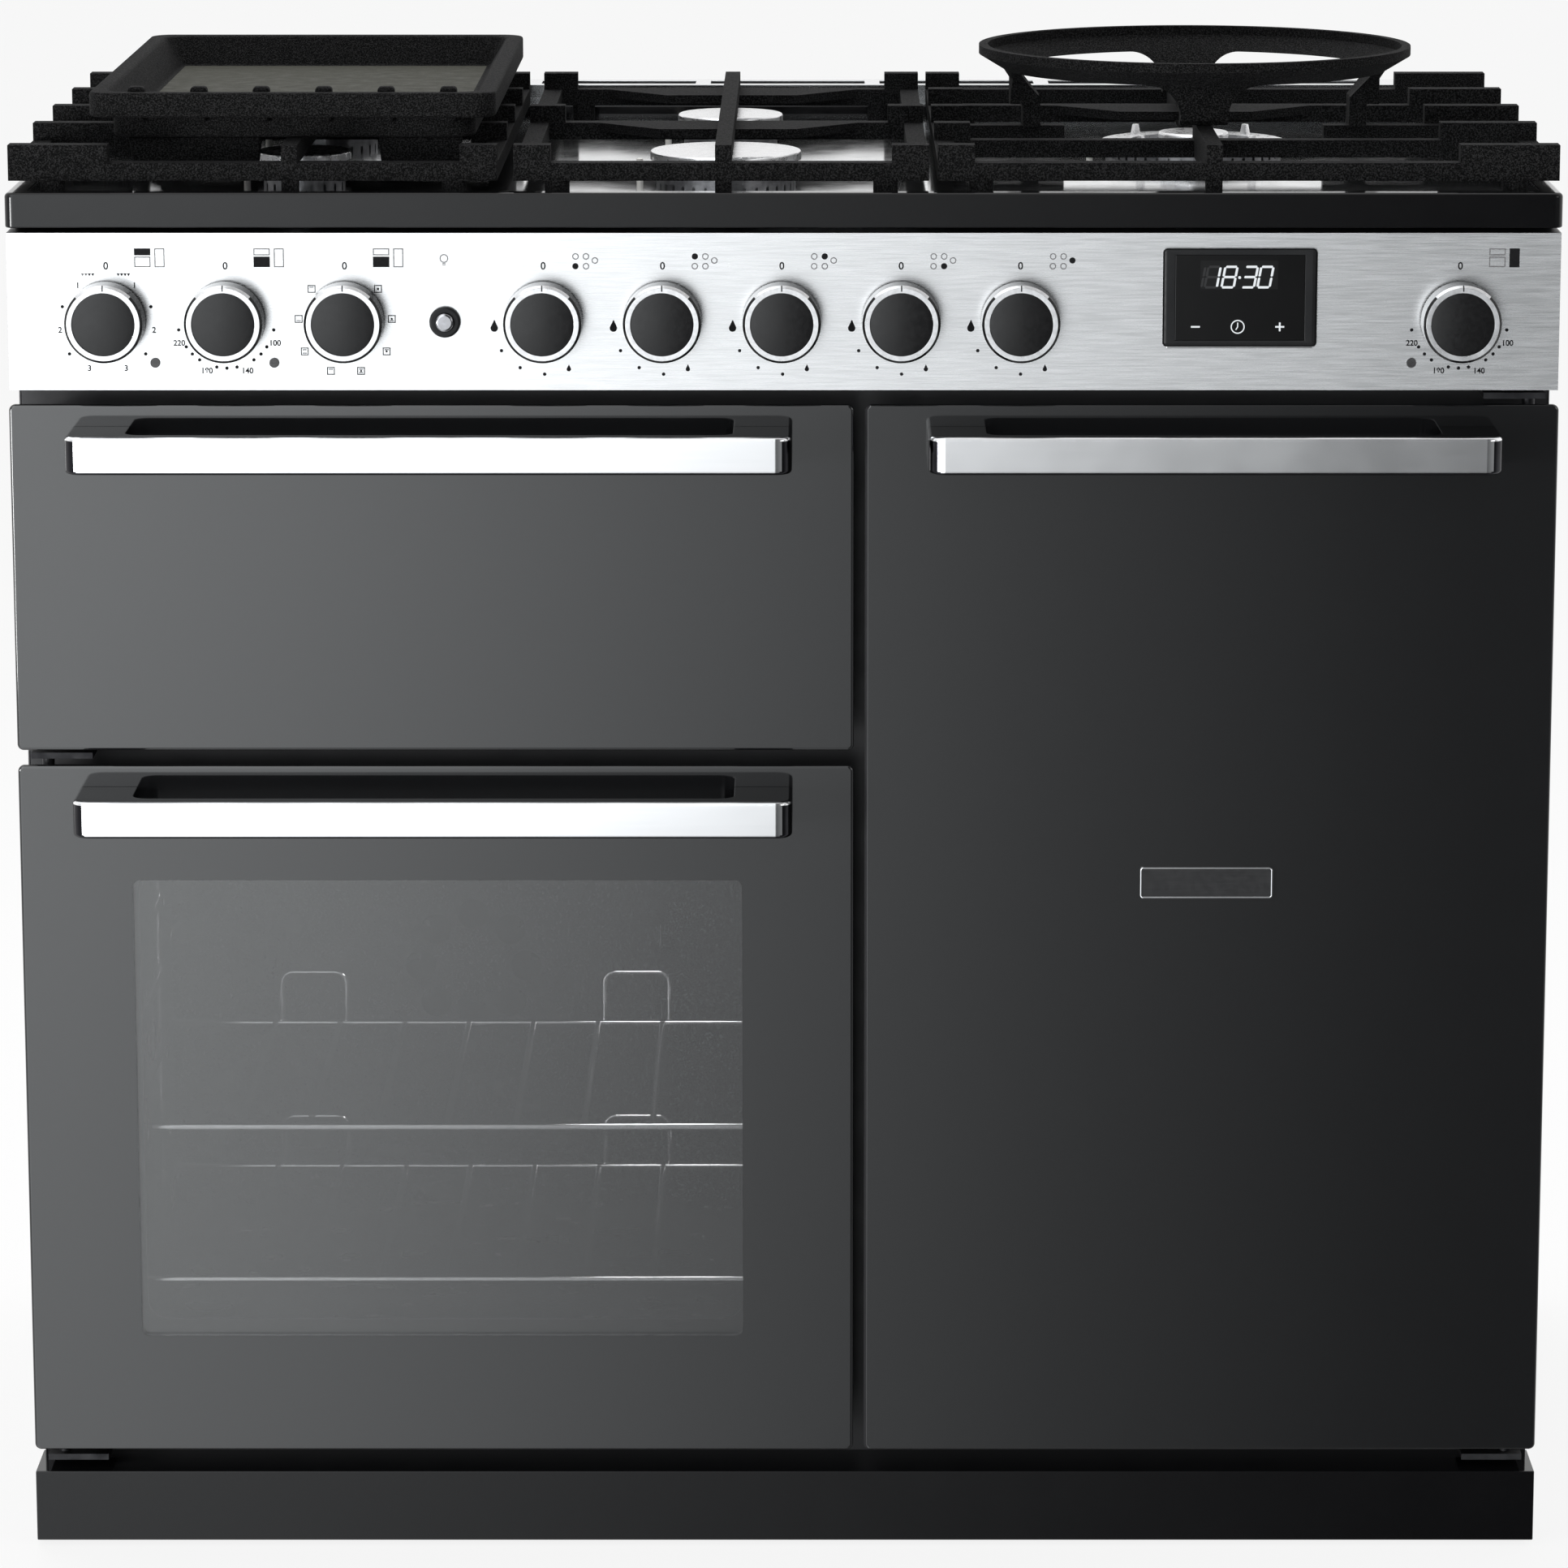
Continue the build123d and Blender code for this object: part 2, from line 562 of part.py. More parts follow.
def wok_crown():
    radius = WOK_R - CROWN_IN
    plate = rod_z(radius, 0, 0, (Z_PLATE, Z_PLATE + WOK_CROWN_HEIGHT))
    top = Z_PLATE + WOK_CROWN_HEIGHT
    trench = rod_z(WOK_R - WOK_RING_W, 0, 0, (top - WOK_TRENCH, top))
    core = rod_z(WOK_CORE_R - CROWN_IN, 0, 0, (Z_PLATE, Z_PLATE + CROWN_HEIGHT))
    cup = rod_z(CUP_R, 0, 0, (Z_PLATE - CUP_DEPTH, Z_PLATE))
    body = plate - trench + core + cup
    body -= ports(radius, WOK_PORT_HEIGHT, Z_PLATE + WOK_PORT_HEIGHT)
    return body - ports(WOK_CORE_R - CROWN_IN, PORT_HEIGHT, Z_PLATE + PORT_HEIGHT)


def wok_caps():
    low = Z_PLATE + WOK_CROWN_HEIGHT
    ring = rod_z(WOK_R, 0, 0, (low, low + WOK_CAP_T))
    ring = fillet(ring.edges().group_by(Axis.Z)[-1], WOK_CAP_EDGE_R)
    ring -= rod_z(WOK_R - WOK_RING_W, 0, 0, (low - PAST, low + WOK_CAP_T + PAST))
    return [ring, cap(WOK_CORE_R)]


def probe(x, y, radius):
    tip = Z_PLATE + CROWN_HEIGHT
    return rod_z(PROBE_R, x - radius - PROBE_GAP, y, (Z_PLATE, tip))


burner_crowns = [Pos(x, y, 0) * crown(r) for x, y, r in ROUND_BURNERS]
burner_crowns.append(Pos(WOK[0], WOK[1], 0) * wok_crown())
burner_caps = [Pos(x, y, 0) * cap(r) for x, y, r in ROUND_BURNERS]
burner_caps += [Pos(WOK[0], WOK[1], 0) * piece for piece in wok_caps()]
hob_plate = block(X_PLATE, Y_PLATE, (Z_PLATE - HOB_PLATE_T, Z_PLATE))
hob_plate -= [
    rod_z(CUP_R + EASY_FIT, x, y, (Z_PLATE - HOB_PLATE_T - PAST, Z_PLATE + PAST))
    for x, y, r in ALL_BURNERS
]
save("hob_plate", hob_plate)
save("burner_crowns", *burner_crowns)
save("burner_caps", *burner_caps)
save("spark_probes", *[probe(*burner) for burner in ALL_BURNERS])


# Pan supports: cast-iron ladders whose raised lands carry the pans
def row(at):
    return (Y_DOOR + at, Y_DOOR + at + BAR_W)


def gusset(x, at):
    """A flat web that widens a cross bar towards the burner in front of it."""
    y = Y_DOOR + at
    outline = Polyline([
        (x - GUSSET_BASE, y), (x - GUSSET_TIP, y - GUSSET_REACH),
        (x + GUSSET_TIP, y - GUSSET_REACH), (x + GUSSET_BASE, y),
    ], close=True)
    return Pos(0, 0, Z_BARS_TOP - GUSSET_T) * extrude(make_face(outline), GUSSET_T)


def pan_support(across, lands, bar_rows, land_rows, fingers, gussets):
    """Side rails, cross bars, lands at both ends of the rows, fingers and feet, cast in one."""
    x0, x1 = across
    deep = (Y_DOOR + ROW_FRONT, Y_DOOR + ROW_REAR + BAR_W)
    low = (Z_BARS, Z_BARS_TOP)
    high = (Z_BARS, Z_LANDS)
    pieces = [block((x0, x0 + RAIL_W), deep, low), block((x1 - RAIL_W, x1), deep, low)]
    pieces += [block(across, row(at), low) for at in bar_rows]
    pieces += [block((x0, x0 + lands[0]), row(at), high) for at in land_rows]
    pieces += [block((x1 - lands[1], x1), row(at), high) for at in land_rows]
    pieces += fingers
    pieces += [gusset(x, at) for x, at in gussets]
    pieces += [
        rod_z(SUPPORT_FOOT_R, x, y, (Z_PLATE, Z_BARS + PAST))
        for x in (x0 + SUPPORT_FOOT_IN, x1 - SUPPORT_FOOT_IN)
        for y in (deep[0] + BAR_W / 2, deep[1] - BAR_W / 2)
    ]
    return pieces[0] + pieces[1:]


def spine(x, front, rear, low):
    """A raised bar along the hob's depth, from a low level up to the lands."""
    return block((x - SPINE_W / 2, x + SPINE_W / 2), (Y_DOOR + front, Y_DOOR + rear), (low, Z_LANDS))


def full_spine(x):
    over = spine(x, ROW_FRONT, ROW_REAR + BAR_W, Z_LANDS - SPINE_HEIGHT)
    return [over, spine(x, ROW_FRONT, ROW_FRONT + BAR_W, Z_PLATE)]


wok_fingers = [
    spine(WOK_X, ROW_FRONT, WOK_Y - WOK_FINGER_GAP, Z_BARS),
    spine(WOK_X, WOK_Y + WOK_FINGER_GAP, ROW_REAR + BAR_W, Z_BARS),
    spine(WOK_X, ROW_FRONT, ROW_FRONT + BAR_W, Z_PLATE),
    block((RIGHT_SUPPORT_X0, WOK_X - WOK_SEAT_GAP), row(WOK_Y - BAR_W / 2), (Z_BARS, Z_BARS_TOP)),
    block((WOK_X + WOK_SEAT_GAP, HALF), row(WOK_Y - BAR_W / 2), (Z_BARS, Z_BARS_TOP)),
]
ALL_ROWS = (ROW_FRONT, ROW_SECOND, ROW_MIDDLE, ROW_FOURTH, ROW_REAR)
LADDER_ROWS = (ROW_FRONT, ROW_MIDDLE, ROW_REAR)
WOK_ROWS = (ROW_FRONT, ROW_SECOND, ROW_FOURTH, ROW_REAR)
save("pan_support_left", pan_support(
    (-HALF, LEFT_SUPPORT_X1), (OUTER_LAND, INNER_LAND), LADDER_ROWS, ALL_ROWS, full_spine(LEFT_BURNER_X),
    [(LEFT_BURNER_X, ROW_MIDDLE), (LEFT_BURNER_X, ROW_REAR)]))
save("pan_support_centre", pan_support(
    (CENTRE_SUPPORT_X0, CENTRE_SUPPORT_X1), (INNER_LAND, INNER_LAND), LADDER_ROWS, LADDER_ROWS,
    full_spine(CENTRE_BURNER_X), [(CENTRE_BURNER_X, ROW_MIDDLE), (CENTRE_BURNER_X, ROW_REAR)]))
save("pan_support_right", pan_support(
    (RIGHT_SUPPORT_X0, HALF), (INNER_LAND, OUTER_LAND), WOK_ROWS, ALL_ROWS, wok_fingers,
    [(WOK_X, ROW_FOURTH)]))

# Griddle: a cast tray with a thick lip, standing on the left support's lands
griddle_at = Pos(GRIDDLE_X, Y_DOOR + GRIDDLE_FRONT + GRIDDLE_DEPTH / 2, Z_LANDS)
lip = extrude(RectangleRounded(GRIDDLE_W, GRIDDLE_DEPTH, GRIDDLE_CORNER_R), GRIDDLE_LIP)
body_w = GRIDDLE_W - 2 * GRIDDLE_WALL_IN
body_d = GRIDDLE_DEPTH - 2 * GRIDDLE_WALL_IN
body = extrude(RectangleRounded(body_w, body_d, GRIDDLE_CORNER_R), GRIDDLE_HEIGHT - GRIDDLE_LIP)
mouth = RectangleRounded(GRIDDLE_W - 2 * GRIDDLE_RIM, GRIDDLE_DEPTH - 2 * GRIDDLE_RIM, GRIDDLE_CORNER_R)
hollow = extrude(mouth, -(GRIDDLE_HEIGHT - GRIDDLE_FLOOR), taper=GRIDDLE_SLOPE)
griddle = body + Pos(0, 0, GRIDDLE_HEIGHT - GRIDDLE_LIP) * lip - Pos(0, 0, GRIDDLE_HEIGHT) * hollow
save("griddle", griddle_at * griddle)


# Wok ring: a cast band with an upright rim and a leaning wall, on four flared legs with stepped feet
WOK_BAND_FOOT = WOK_RING_HEIGHT - WOK_RING_BAND
WOK_FOOT_R = WOK_RING_R - WOK_RING_LEAN


def leg_wall(foot):
    """The legs' radial outline turned all round, before the legs are cut from it."""
    return turned([
        (WOK_FOOT_R, WOK_BAND_FOOT), (WOK_LEG_OUT, WOK_BAND_FOOT - WOK_RING_WALL),
        (WOK_LEG_OUT, WOK_LEG_REST), (WOK_LEG_STEP, WOK_LEG_REST), (WOK_LEG_STEP, foot), (WOK_LEG_IN, foot),
        (WOK_LEG_IN, WOK_LEG_KNEE), (WOK_FOOT_R - WOK_RING_WALL, WOK_BAND_FOOT),
    ])


def leg_cutter(foot):
    """A flared prism across the ring that keeps two opposite legs of its wall."""
    wide, waist, narrow = WOK_LEG_TOP / 2, WOK_LEG_WAIST / 2, WOK_LEG_FOOT / 2
    waist_z = WOK_BAND_FOOT - WOK_WAIST_DROP
    sides = [
        ThreePointArc((side * wide, 0, WOK_BAND_FOOT), (side * waist, 0, waist_z), (side * narrow, 0, foot))
        for side in (-1, 1)
    ]
    ends = [
        Line((-wide, 0, WOK_BAND_FOOT), (wide, 0, WOK_BAND_FOOT)),
        Line((-narrow, 0, foot), (narrow, 0, foot)),
    ]
    face = make_face(sides + ends)
    return extrude(face, WOK_RING_R, both=True)


side_foot = Z_BARS_TOP - Z_LANDS
wok_ring = turned([
    (WOK_RING_R, WOK_RING_HEIGHT), (WOK_RING_R, WOK_RING_HEIGHT - WOK_RING_RIM),
    (WOK_FOOT_R, WOK_BAND_FOOT), (WOK_FOOT_R - WOK_RING_WALL, WOK_BAND_FOOT),
    (WOK_RING_R - WOK_RING_WALL, WOK_RING_HEIGHT - WOK_RING_RIM),
    (WOK_RING_R - WOK_RING_WALL, WOK_RING_HEIGHT),
])
wok_ring += leg_wall(0) & leg_cutter(0)
wok_ring += leg_wall(side_foot) & (Rot(0, 0, 90) * leg_cutter(side_foot))
save("wok_ring", Pos(WOK_X, Y_DOOR + WOK_Y, Z_LANDS) * wok_ring)

# Control panel: a folded steel tray with holes for the spindles, lamps, light button and timer
OVEN_KNOBS = [OVEN_KNOB_X + i * KNOB_PITCH for i in range(3)]
GAS_KNOBS = [GAS_KNOB_X + i * KNOB_PITCH for i in range(5)]
SWITCHED_KNOBS = OVEN_KNOBS + [RIGHT_KNOB_X]
LAMPS = [OVEN_KNOB_X + LAMP_SIDE, OVEN_KNOB_X + KNOB_PITCH + LAMP_SIDE, RIGHT_KNOB_X - LAMP_SIDE]
PANEL_X = HALF - PANEL_INSET
Z_LIGHT = Z_PANEL + LIGHT_Z
Z_LAMPS = Z_PANEL + LAMP_Z
Z_TIMER = Z_PANEL + TIMER_Z
timer_body_w = TIMER_W - 2 * TIMER_BODY_IN
timer_body_h = TIMER_HEIGHT - 2 * TIMER_BODY_IN
control_panel = block((-PANEL_X, PANEL_X), (Y_DOOR, Y_FRAME), (Z_PANEL, Z_PANEL_TOP))
control_panel -= block((-PANEL_X + SHEET, PANEL_X - SHEET), (Y_DOOR + SHEET, Y_FRAME + PAST),
                       (Z_PANEL + SHEET, Z_PANEL_TOP - SHEET))
through = (Y_DOOR - PAST, Y_DOOR + SHEET + PAST)
control_panel -= [rod_y(PANEL_HOLE_R, x, through, Z_KNOBS) for x in GAS_KNOBS + SWITCHED_KNOBS]
control_panel -= [rod_y(LAMP_STEM_R + RUN_FIT, x, through, Z_LAMPS) for x in LAMPS]
control_panel -= rod_y(LIGHT_BARREL_R + RUN_FIT, LIGHT_X, through, Z_LIGHT)
timer_hole = Box(timer_body_w + EASY_FIT, 2 * (SHEET + PAST), timer_body_h + EASY_FIT)
control_panel -= Pos(TIMER_X, Y_DOOR, Z_TIMER) * timer_hole
save("control_panel", control_panel)

# Timer: a bezel with its body through the panel, and a glass set into it; the light's bezel
timer = Pos(0, 0, TIMER_PROUD / 2) * Box(TIMER_W, TIMER_HEIGHT, TIMER_PROUD)
timer += Pos(0, 0, -TIMER_BODY_DEPTH / 2) * Box(timer_body_w, timer_body_h, TIMER_BODY_DEPTH)
glass_low = TIMER_PROUD - TIMER_GLASS_T
timer -= Pos(0, 0, glass_low + TIMER_PROUD) * Box(TIMER_GLASS_W, TIMER_GLASS_HEIGHT, 2 * TIMER_PROUD)
timer_glass = Box(TIMER_GLASS_W, TIMER_GLASS_HEIGHT, TIMER_GLASS_T)
timer_glass = Pos(0, 0, glass_low + TIMER_GLASS_T / 2) * timer_glass
light_ring = turned([
    (BUTTON_R + RUN_FIT, LIGHT_RING_T), (LIGHT_RING_R - LIGHT_RING_EDGE, LIGHT_RING_T),
    (LIGHT_RING_R, LIGHT_RING_T - LIGHT_RING_EDGE), (LIGHT_RING_R, 0),
    (LIGHT_BARREL_R, 0), (LIGHT_BARREL_R, -LIGHT_BARREL_DEPTH),
    (BUTTON_R + RUN_FIT, -LIGHT_BARREL_DEPTH),
])
light_button = rod_z(BUTTON_R, 0, 0, (-BUTTON_IN, LIGHT_RING_T + BUTTON_TRAVEL))
light_button = fillet(light_button.edges().group_by(Axis.Z)[-1], BUTTON_DOME)
lamp = turned([(0, LAMP_T), (LAMP_R, LAMP_T), (LAMP_R, 0), (LAMP_STEM_R, 0), (LAMP_STEM_R, -LAMP_STEM),
               (0, -LAMP_STEM)])
save("panel_bezels", on_panel(TIMER_X, Z_TIMER, timer), on_panel(LIGHT_X, Z_LIGHT, light_ring))
save("timer_glass", on_panel(TIMER_X, Z_TIMER, timer_glass))
save("light_button", on_panel(LIGHT_X, Z_LIGHT, light_button))
save("indicator_lamps", *[on_panel(x, Z_LAMPS, lamp) for x in LAMPS])

# Knobs: turned shells with a sunk face disc; oven knobs carry their spindle
KNOB_TOP = KNOB_GAP + KNOB_DEPTH
knob_shell = turned([
    (SPINDLE_R + RUN_FIT, KNOB_GAP), (KNOB_SKIRT_R, KNOB_GAP), (KNOB_FRONT_R, KNOB_TOP - KNOB_EDGE),
    (KNOB_FRONT_R - KNOB_EDGE, KNOB_TOP), (KNOB_FACE_R, KNOB_TOP), (KNOB_FACE_R, KNOB_TOP - FACE_T),
    (0, KNOB_TOP - FACE_T), (0, KNOB_GAP + SPINDLE_SEAT), (SPINDLE_R + RUN_FIT, KNOB_GAP + SPINDLE_SEAT),
])
knob_face = rod_z(KNOB_FACE_R - RUN_FIT, 0, 0, (KNOB_TOP - FACE_T, KNOB_TOP - FACE_SUNK))
oven_spindle = rod_z(SPINDLE_R, 0, 0, (-SPINDLE_BACK, KNOB_GAP + SPINDLE_SEAT))
gas_spindle = rod_z(SPINDLE_R, 0, 0, (-SPINDLE_BACK, KNOB_GAP + SPINDLE_SEAT - GAS_PUSH - PIN_END_GAP))
OVEN_KNOB_NAMES = ("grill_knob", "left_oven_knob", "oven_function_knob", "right_oven_knob")
GAS_NAMES = ("front_left", "rear_left", "rear_centre", "front_centre", "wok")
for name, x in zip(OVEN_KNOB_NAMES, SWITCHED_KNOBS):
    save(name, *[on_panel(x, Z_KNOBS, piece) for piece in (knob_shell, knob_face, oven_spindle)])
for name, x in zip(GAS_NAMES, GAS_KNOBS):
    save(f"{name}_gas_knob", on_panel(x, Z_KNOBS, knob_shell), on_panel(x, Z_KNOBS, knob_face))
    save(f"{name}_tap_spindle", on_panel(x, Z_KNOBS, gas_spindle))


# Switches and gas taps behind the panel, each with the bore of its spindle
def behind_panel(width, height, depth):
    body = Pos(0, 0, -SHEET - depth / 2) * Box(width, height, depth)
    return body - rod_z(SPINDLE_R + RUN_FIT, 0, 0, (-SPINDLE_BACK - PIN_END_GAP, 0))


oven_switch = behind_panel(SWITCH_W, SWITCH_HEIGHT, SWITCH_DEPTH)
gas_tap = behind_panel(TAP_W, TAP_HEIGHT, TAP_DEPTH)
save("oven_switches", *[on_panel(x, Z_KNOBS, oven_switch) for x in SWITCHED_KNOBS])
gas_taps = [on_panel(x, Z_KNOBS, gas_tap) for x in GAS_KNOBS]


# Gas rail under the taps, feed pipes to the burners and the main pipe to the rear inlet
def pipe(points, radius, bend):
    path = FilletPolyline(points, radius=bend)
    return sweep(Plane(path @ 0, z_dir=path % 0) * Circle(radius), path)


Y_TAPS = Y_DOOR + SHEET + TAP_DEPTH / 2
Z_TAPS = Z_KNOBS + TAP_HEIGHT / 2
FEED_LEVELS = (PIPE_HIGH, PIPE_HIGH, PIPE_HIGH, PIPE_LOW, PIPE_HIGH)
rail_x = (GAS_KNOBS[0] - RAIL_END, GAS_KNOBS[-1] + RAIL_END)
rail_y = (Y_TAPS - RAIL_SIZE / 2, Y_TAPS + RAIL_SIZE / 2)
gas_rail = block(rail_x, rail_y, (Z_INLET - RAIL_SIZE / 2, Z_INLET + RAIL_SIZE / 2))
gas_pipes = [gas_rail]
for x, burner, level in zip(GAS_KNOBS, ALL_BURNERS, FEED_LEVELS):
    route = [(x, Y_TAPS, Z_TAPS), (x, Y_TAPS, Z_TAPS + level), (burner[0], burner[1], Z_TAPS + level)]
    cup = rod_z(CUP_R, burner[0], burner[1], (Z_PLATE - CUP_DEPTH, Z_PLATE))
    gas_pipes.append((pipe(route, PIPE_R, PIPE_BEND) - cup).solids().sort_by(SortBy.VOLUME)[-1])
inlet_y = (Y_BACK - INLET_LENGTH, Y_BACK)
main_route = [
    (rail_x[1], Y_TAPS, Z_INLET), (MAIN_PIPE_X, Y_TAPS, Z_INLET), (MAIN_PIPE_X, inlet_y[0], Z_INLET),
]
inlet = rod_y(INLET_R, MAIN_PIPE_X, inlet_y, Z_INLET)
inlet -= rod_y(INLET_BORE_R, MAIN_PIPE_X, (Y_BACK - INLET_BORE_DEPTH, Y_BACK + PAST), Z_INLET)
gas_pipes += [pipe(main_route, MAIN_PIPE_R, MAIN_PIPE_BEND), inlet]
save("gas_pipes", *gas_taps, *gas_pipes)

# Terminal box with the cable gland through the back panel
terminal_y = (Y_BACK - GLAND_LENGTH - TERMINAL_DEPTH, Y_BACK - GLAND_LENGTH)
terminal_box = block((TERMINAL_X - TERMINAL_W / 2, TERMINAL_X + TERMINAL_W / 2), terminal_y,
                     (TERMINAL_Z - TERMINAL_HEIGHT / 2, TERMINAL_Z + TERMINAL_HEIGHT / 2))
terminal_box += rod_y(GLAND_R, TERMINAL_X, (Y_BACK - GLAND_LENGTH, Y_BACK), TERMINAL_Z)
nut_y = (Y_SHEET - SHEET - GLAND_NUT_T, Y_SHEET - SHEET)
terminal_box += rod_y(GLAND_NUT_R, TERMINAL_X, nut_y, TERMINAL_Z)
terminal_box -= rod_y(GLAND_BORE_R, TERMINAL_X, (Y_BACK - GLAND_LENGTH, Y_BACK + PAST), TERMINAL_Z)
save("terminal_box", terminal_box)


# Liners: enamelled boxes behind the front frame's mouths
def liner(across, levels):
    x0, x1 = across
    z0, z1 = levels
    shell = block((x0 - LINER_T, x1 + LINER_T), (Y_CAVITY, Y_WALL + LINER_T),
                  (z0 - LINER_T, z1 + LINER_T))
    shell += block((x0 - LINER_FLANGE, x1 + LINER_FLANGE), (Y_CAVITY, Y_CAVITY + LINER_T),
                   (z0 - LINER_FLANGE, z1 + LINER_FLANGE))
    return shell - block(across, (Y_CAVITY - PAST, Y_WALL), levels)


def middle(pair):
    return (pair[0] + pair[1]) / 2


def fan_cover(x, z):
    """A pressed cover over the fan, with round intake holes and open slots at its sides."""
    half = FAN_COVER / 2
    wide, tall = (x - half, x + half), (z - half, z + half)
    shell = block(wide, (Y_WALL - FAN_BAY, Y_WALL), tall)
    shell -= block((wide[0] + LINER_T, wide[1] - LINER_T), (Y_WALL - FAN_BAY + LINER_T, Y_WALL + PAST),
                   (tall[0] + LINER_T, tall[1] - LINER_T))
    front = (Y_WALL - FAN_BAY - PAST, Y_WALL - FAN_BAY + LINER_T + PAST)
    shell -= [
        rod_y(INTAKE_R, x + INTAKE_RING * cos(radians(360 * i / INTAKE_COUNT)), front,
              z + INTAKE_RING * sin(radians(360 * i / INTAKE_COUNT)))
        for i in range(INTAKE_COUNT)
    ]
    outlet = Box(FAN_COVER + 2 * PAST, OUTLET_DEPTH, OUTLET_HEIGHT)
    return shell - Pos(x, Y_WALL - FAN_BAY / 2, z) * outlet


LEFT_FAN_AT = (middle(LEFT_CAVITY), middle(LEFT_LEVELS))
RIGHT_FAN_AT = (middle(RIGHT_CAVITY), middle(RIGHT_LEVELS))


def oven_liner(across, levels, fan_at):
    hole = rod_y(FAN_HOLE_R, fan_at[0], (Y_WALL - PAST, Y_WALL + LINER_T + PAST), fan_at[1])
    return liner(across, levels) - hole


save("grill_liner", liner(LEFT_CAVITY, GRILL_LEVELS))
save("left_oven_liner", oven_liner(LEFT_CAVITY, LEFT_LEVELS, LEFT_FAN_AT), fan_cover(*LEFT_FAN_AT))
save("right_oven_liner", oven_liner(RIGHT_CAVITY, RIGHT_LEVELS, RIGHT_FAN_AT), fan_cover(*RIGHT_FAN_AT))


# Fans on their shafts, motors behind the rear walls, heating elements
def fan():
    """A disc with straight blades, a hub and the shaft, with +Z forwards from the rear wall."""
    disc = rod_z(FAN_R, 0, 0, (FAN_WALL_GAP, FAN_WALL_GAP + FAN_DISC_T))
    hub = rod_z(HUB_R, 0, 0, (FAN_WALL_GAP, FAN_WALL_GAP + FAN_DISC_T + BLADE_HEIGHT))
    shaft = rod_z(FAN_SHAFT_R, 0, 0, (-LINER_T - FAN_SHAFT_GRIP, FAN_WALL_GAP))
    blade = Pos(FAN_R - BLADE_LENGTH / 2 - BLADE_T, 0, FAN_WALL_GAP + FAN_DISC_T + BLADE_HEIGHT / 2)
    blade = blade * Box(BLADE_LENGTH, BLADE_T, BLADE_HEIGHT)
    blades = [Rot(0, 0, 360 * i / BLADE_COUNT) * blade for i in range(BLADE_COUNT)]
    return disc + hub + shaft + blades


def on_rear_wall(at, solid):
    return Pos(at[0], Y_WALL, at[1]) * Rot(90, 0, 0) * solid


def fan_motor():
    body = rod_z(MOTOR_R, 0, 0, (-LINER_T - MOTOR_LENGTH, -LINER_T))
    return body - rod_z(FAN_SHAFT_R + RUN_FIT, 0, 0, (-LINER_T - FAN_SHAFT_GRIP - PIN_END_GAP, 0))


def ring_element():
    """A round element about the fan, on two legs through to the rear wall."""
    height = FAN_WALL_GAP + FAN_DISC_T + BLADE_HEIGHT / 2
    ring = Pos(0, 0, height) * Torus(RING_ELEMENT_R, ELEMENT_R)
    lean = ELEMENT_LEG_SPREAD / 2
    reach = (RING_ELEMENT_R ** 2 - lean ** 2) ** 0.5
    return ring + [rod_z(ELEMENT_LEG_R, side * lean, reach, (0, height)) for side in (-1, 1)]


def grill_element():
    z = GRILL_LEVELS[1] - GRILL_ELEMENT_DROP
    ends = (Y_CAVITY + GRILL_ELEMENT_FRONT, Y_WALL - GRILL_ELEMENT_BACK)
    first = middle(LEFT_CAVITY) - GRILL_ELEMENT_PITCH * (GRILL_RUN_COUNT - 1) / 2
    points = []
    for i in range(GRILL_RUN_COUNT):
        x = first + i * GRILL_ELEMENT_PITCH
        run = [(x, ends[1], z), (x, ends[0], z)]
        points += run if i % 2 == 0 else run[::-1]
    points[0] = (points[0][0], Y_WALL, z)
    points[-1] = (points[-1][0], Y_WALL, z)
    return pipe(points, ELEMENT_R, GRILL_ELEMENT_BEND)


save("left_fan", on_rear_wall(LEFT_FAN_AT, fan()))
save("right_fan", on_rear_wall(RIGHT_FAN_AT, fan()))
save("fan_motors", on_rear_wall(LEFT_FAN_AT, fan_motor()), on_rear_wall(RIGHT_FAN_AT, fan_motor()))
save("heating_elements", grill_element(), on_rear_wall(LEFT_FAN_AT, ring_element()),
     on_rear_wall(RIGHT_FAN_AT, ring_element()))


# Seals: soft rings on the front frame round the two oven mouths
def seal(across, levels):
    y = (Y_DOOR + DOOR_T + SEAL_CLEAR, Y_FRAME)
    inner = SEAL_OFF
    outer = SEAL_OFF + SEAL_W
    ring = block((across[0] - outer, across[1] + outer), y, (levels[0] - outer, levels[1] + outer))
    return ring - block((across[0] - inner, across[1] + inner), (y[0] - PAST, y[1] + PAST),
                        (levels[0] - inner, levels[1] + inner))


save("oven_seals", seal(LEFT_CAVITY, LEFT_LEVELS), seal(RIGHT_CAVITY, RIGHT_LEVELS))


# Racks and the side ladders that carry them, in bright wire
def ladder(across, floor, levels, side):
    wall = across[0] if side < 0 else across[1]
    y = (Y_DOOR + RACK_FRONT, Y_DOOR + RACK_FRONT + RACK_DEPTH)
    seat = FRAME_WIRE_R + CROSS_WIRE_R
    rungs = [floor + LADDER_BOTTOM + i * LADDER_PITCH - seat for i in range(levels)]
    posts = (rungs[0] - LADDER_TAIL, rungs[-1] + LADDER_TAIL)
    pieces = [rod_y(CROSS_WIRE_R, wall - side * WALL_ROD_X, y, z) for z in rungs]
    pieces += [
        rod_z(FRAME_WIRE_R, wall - side * FRAME_WIRE_R, Y_DOOR + post, posts)
        for post in (LADDER_POST_FRONT, LADDER_POST_REAR)
    ]
    return pieces[0] + pieces[1:]


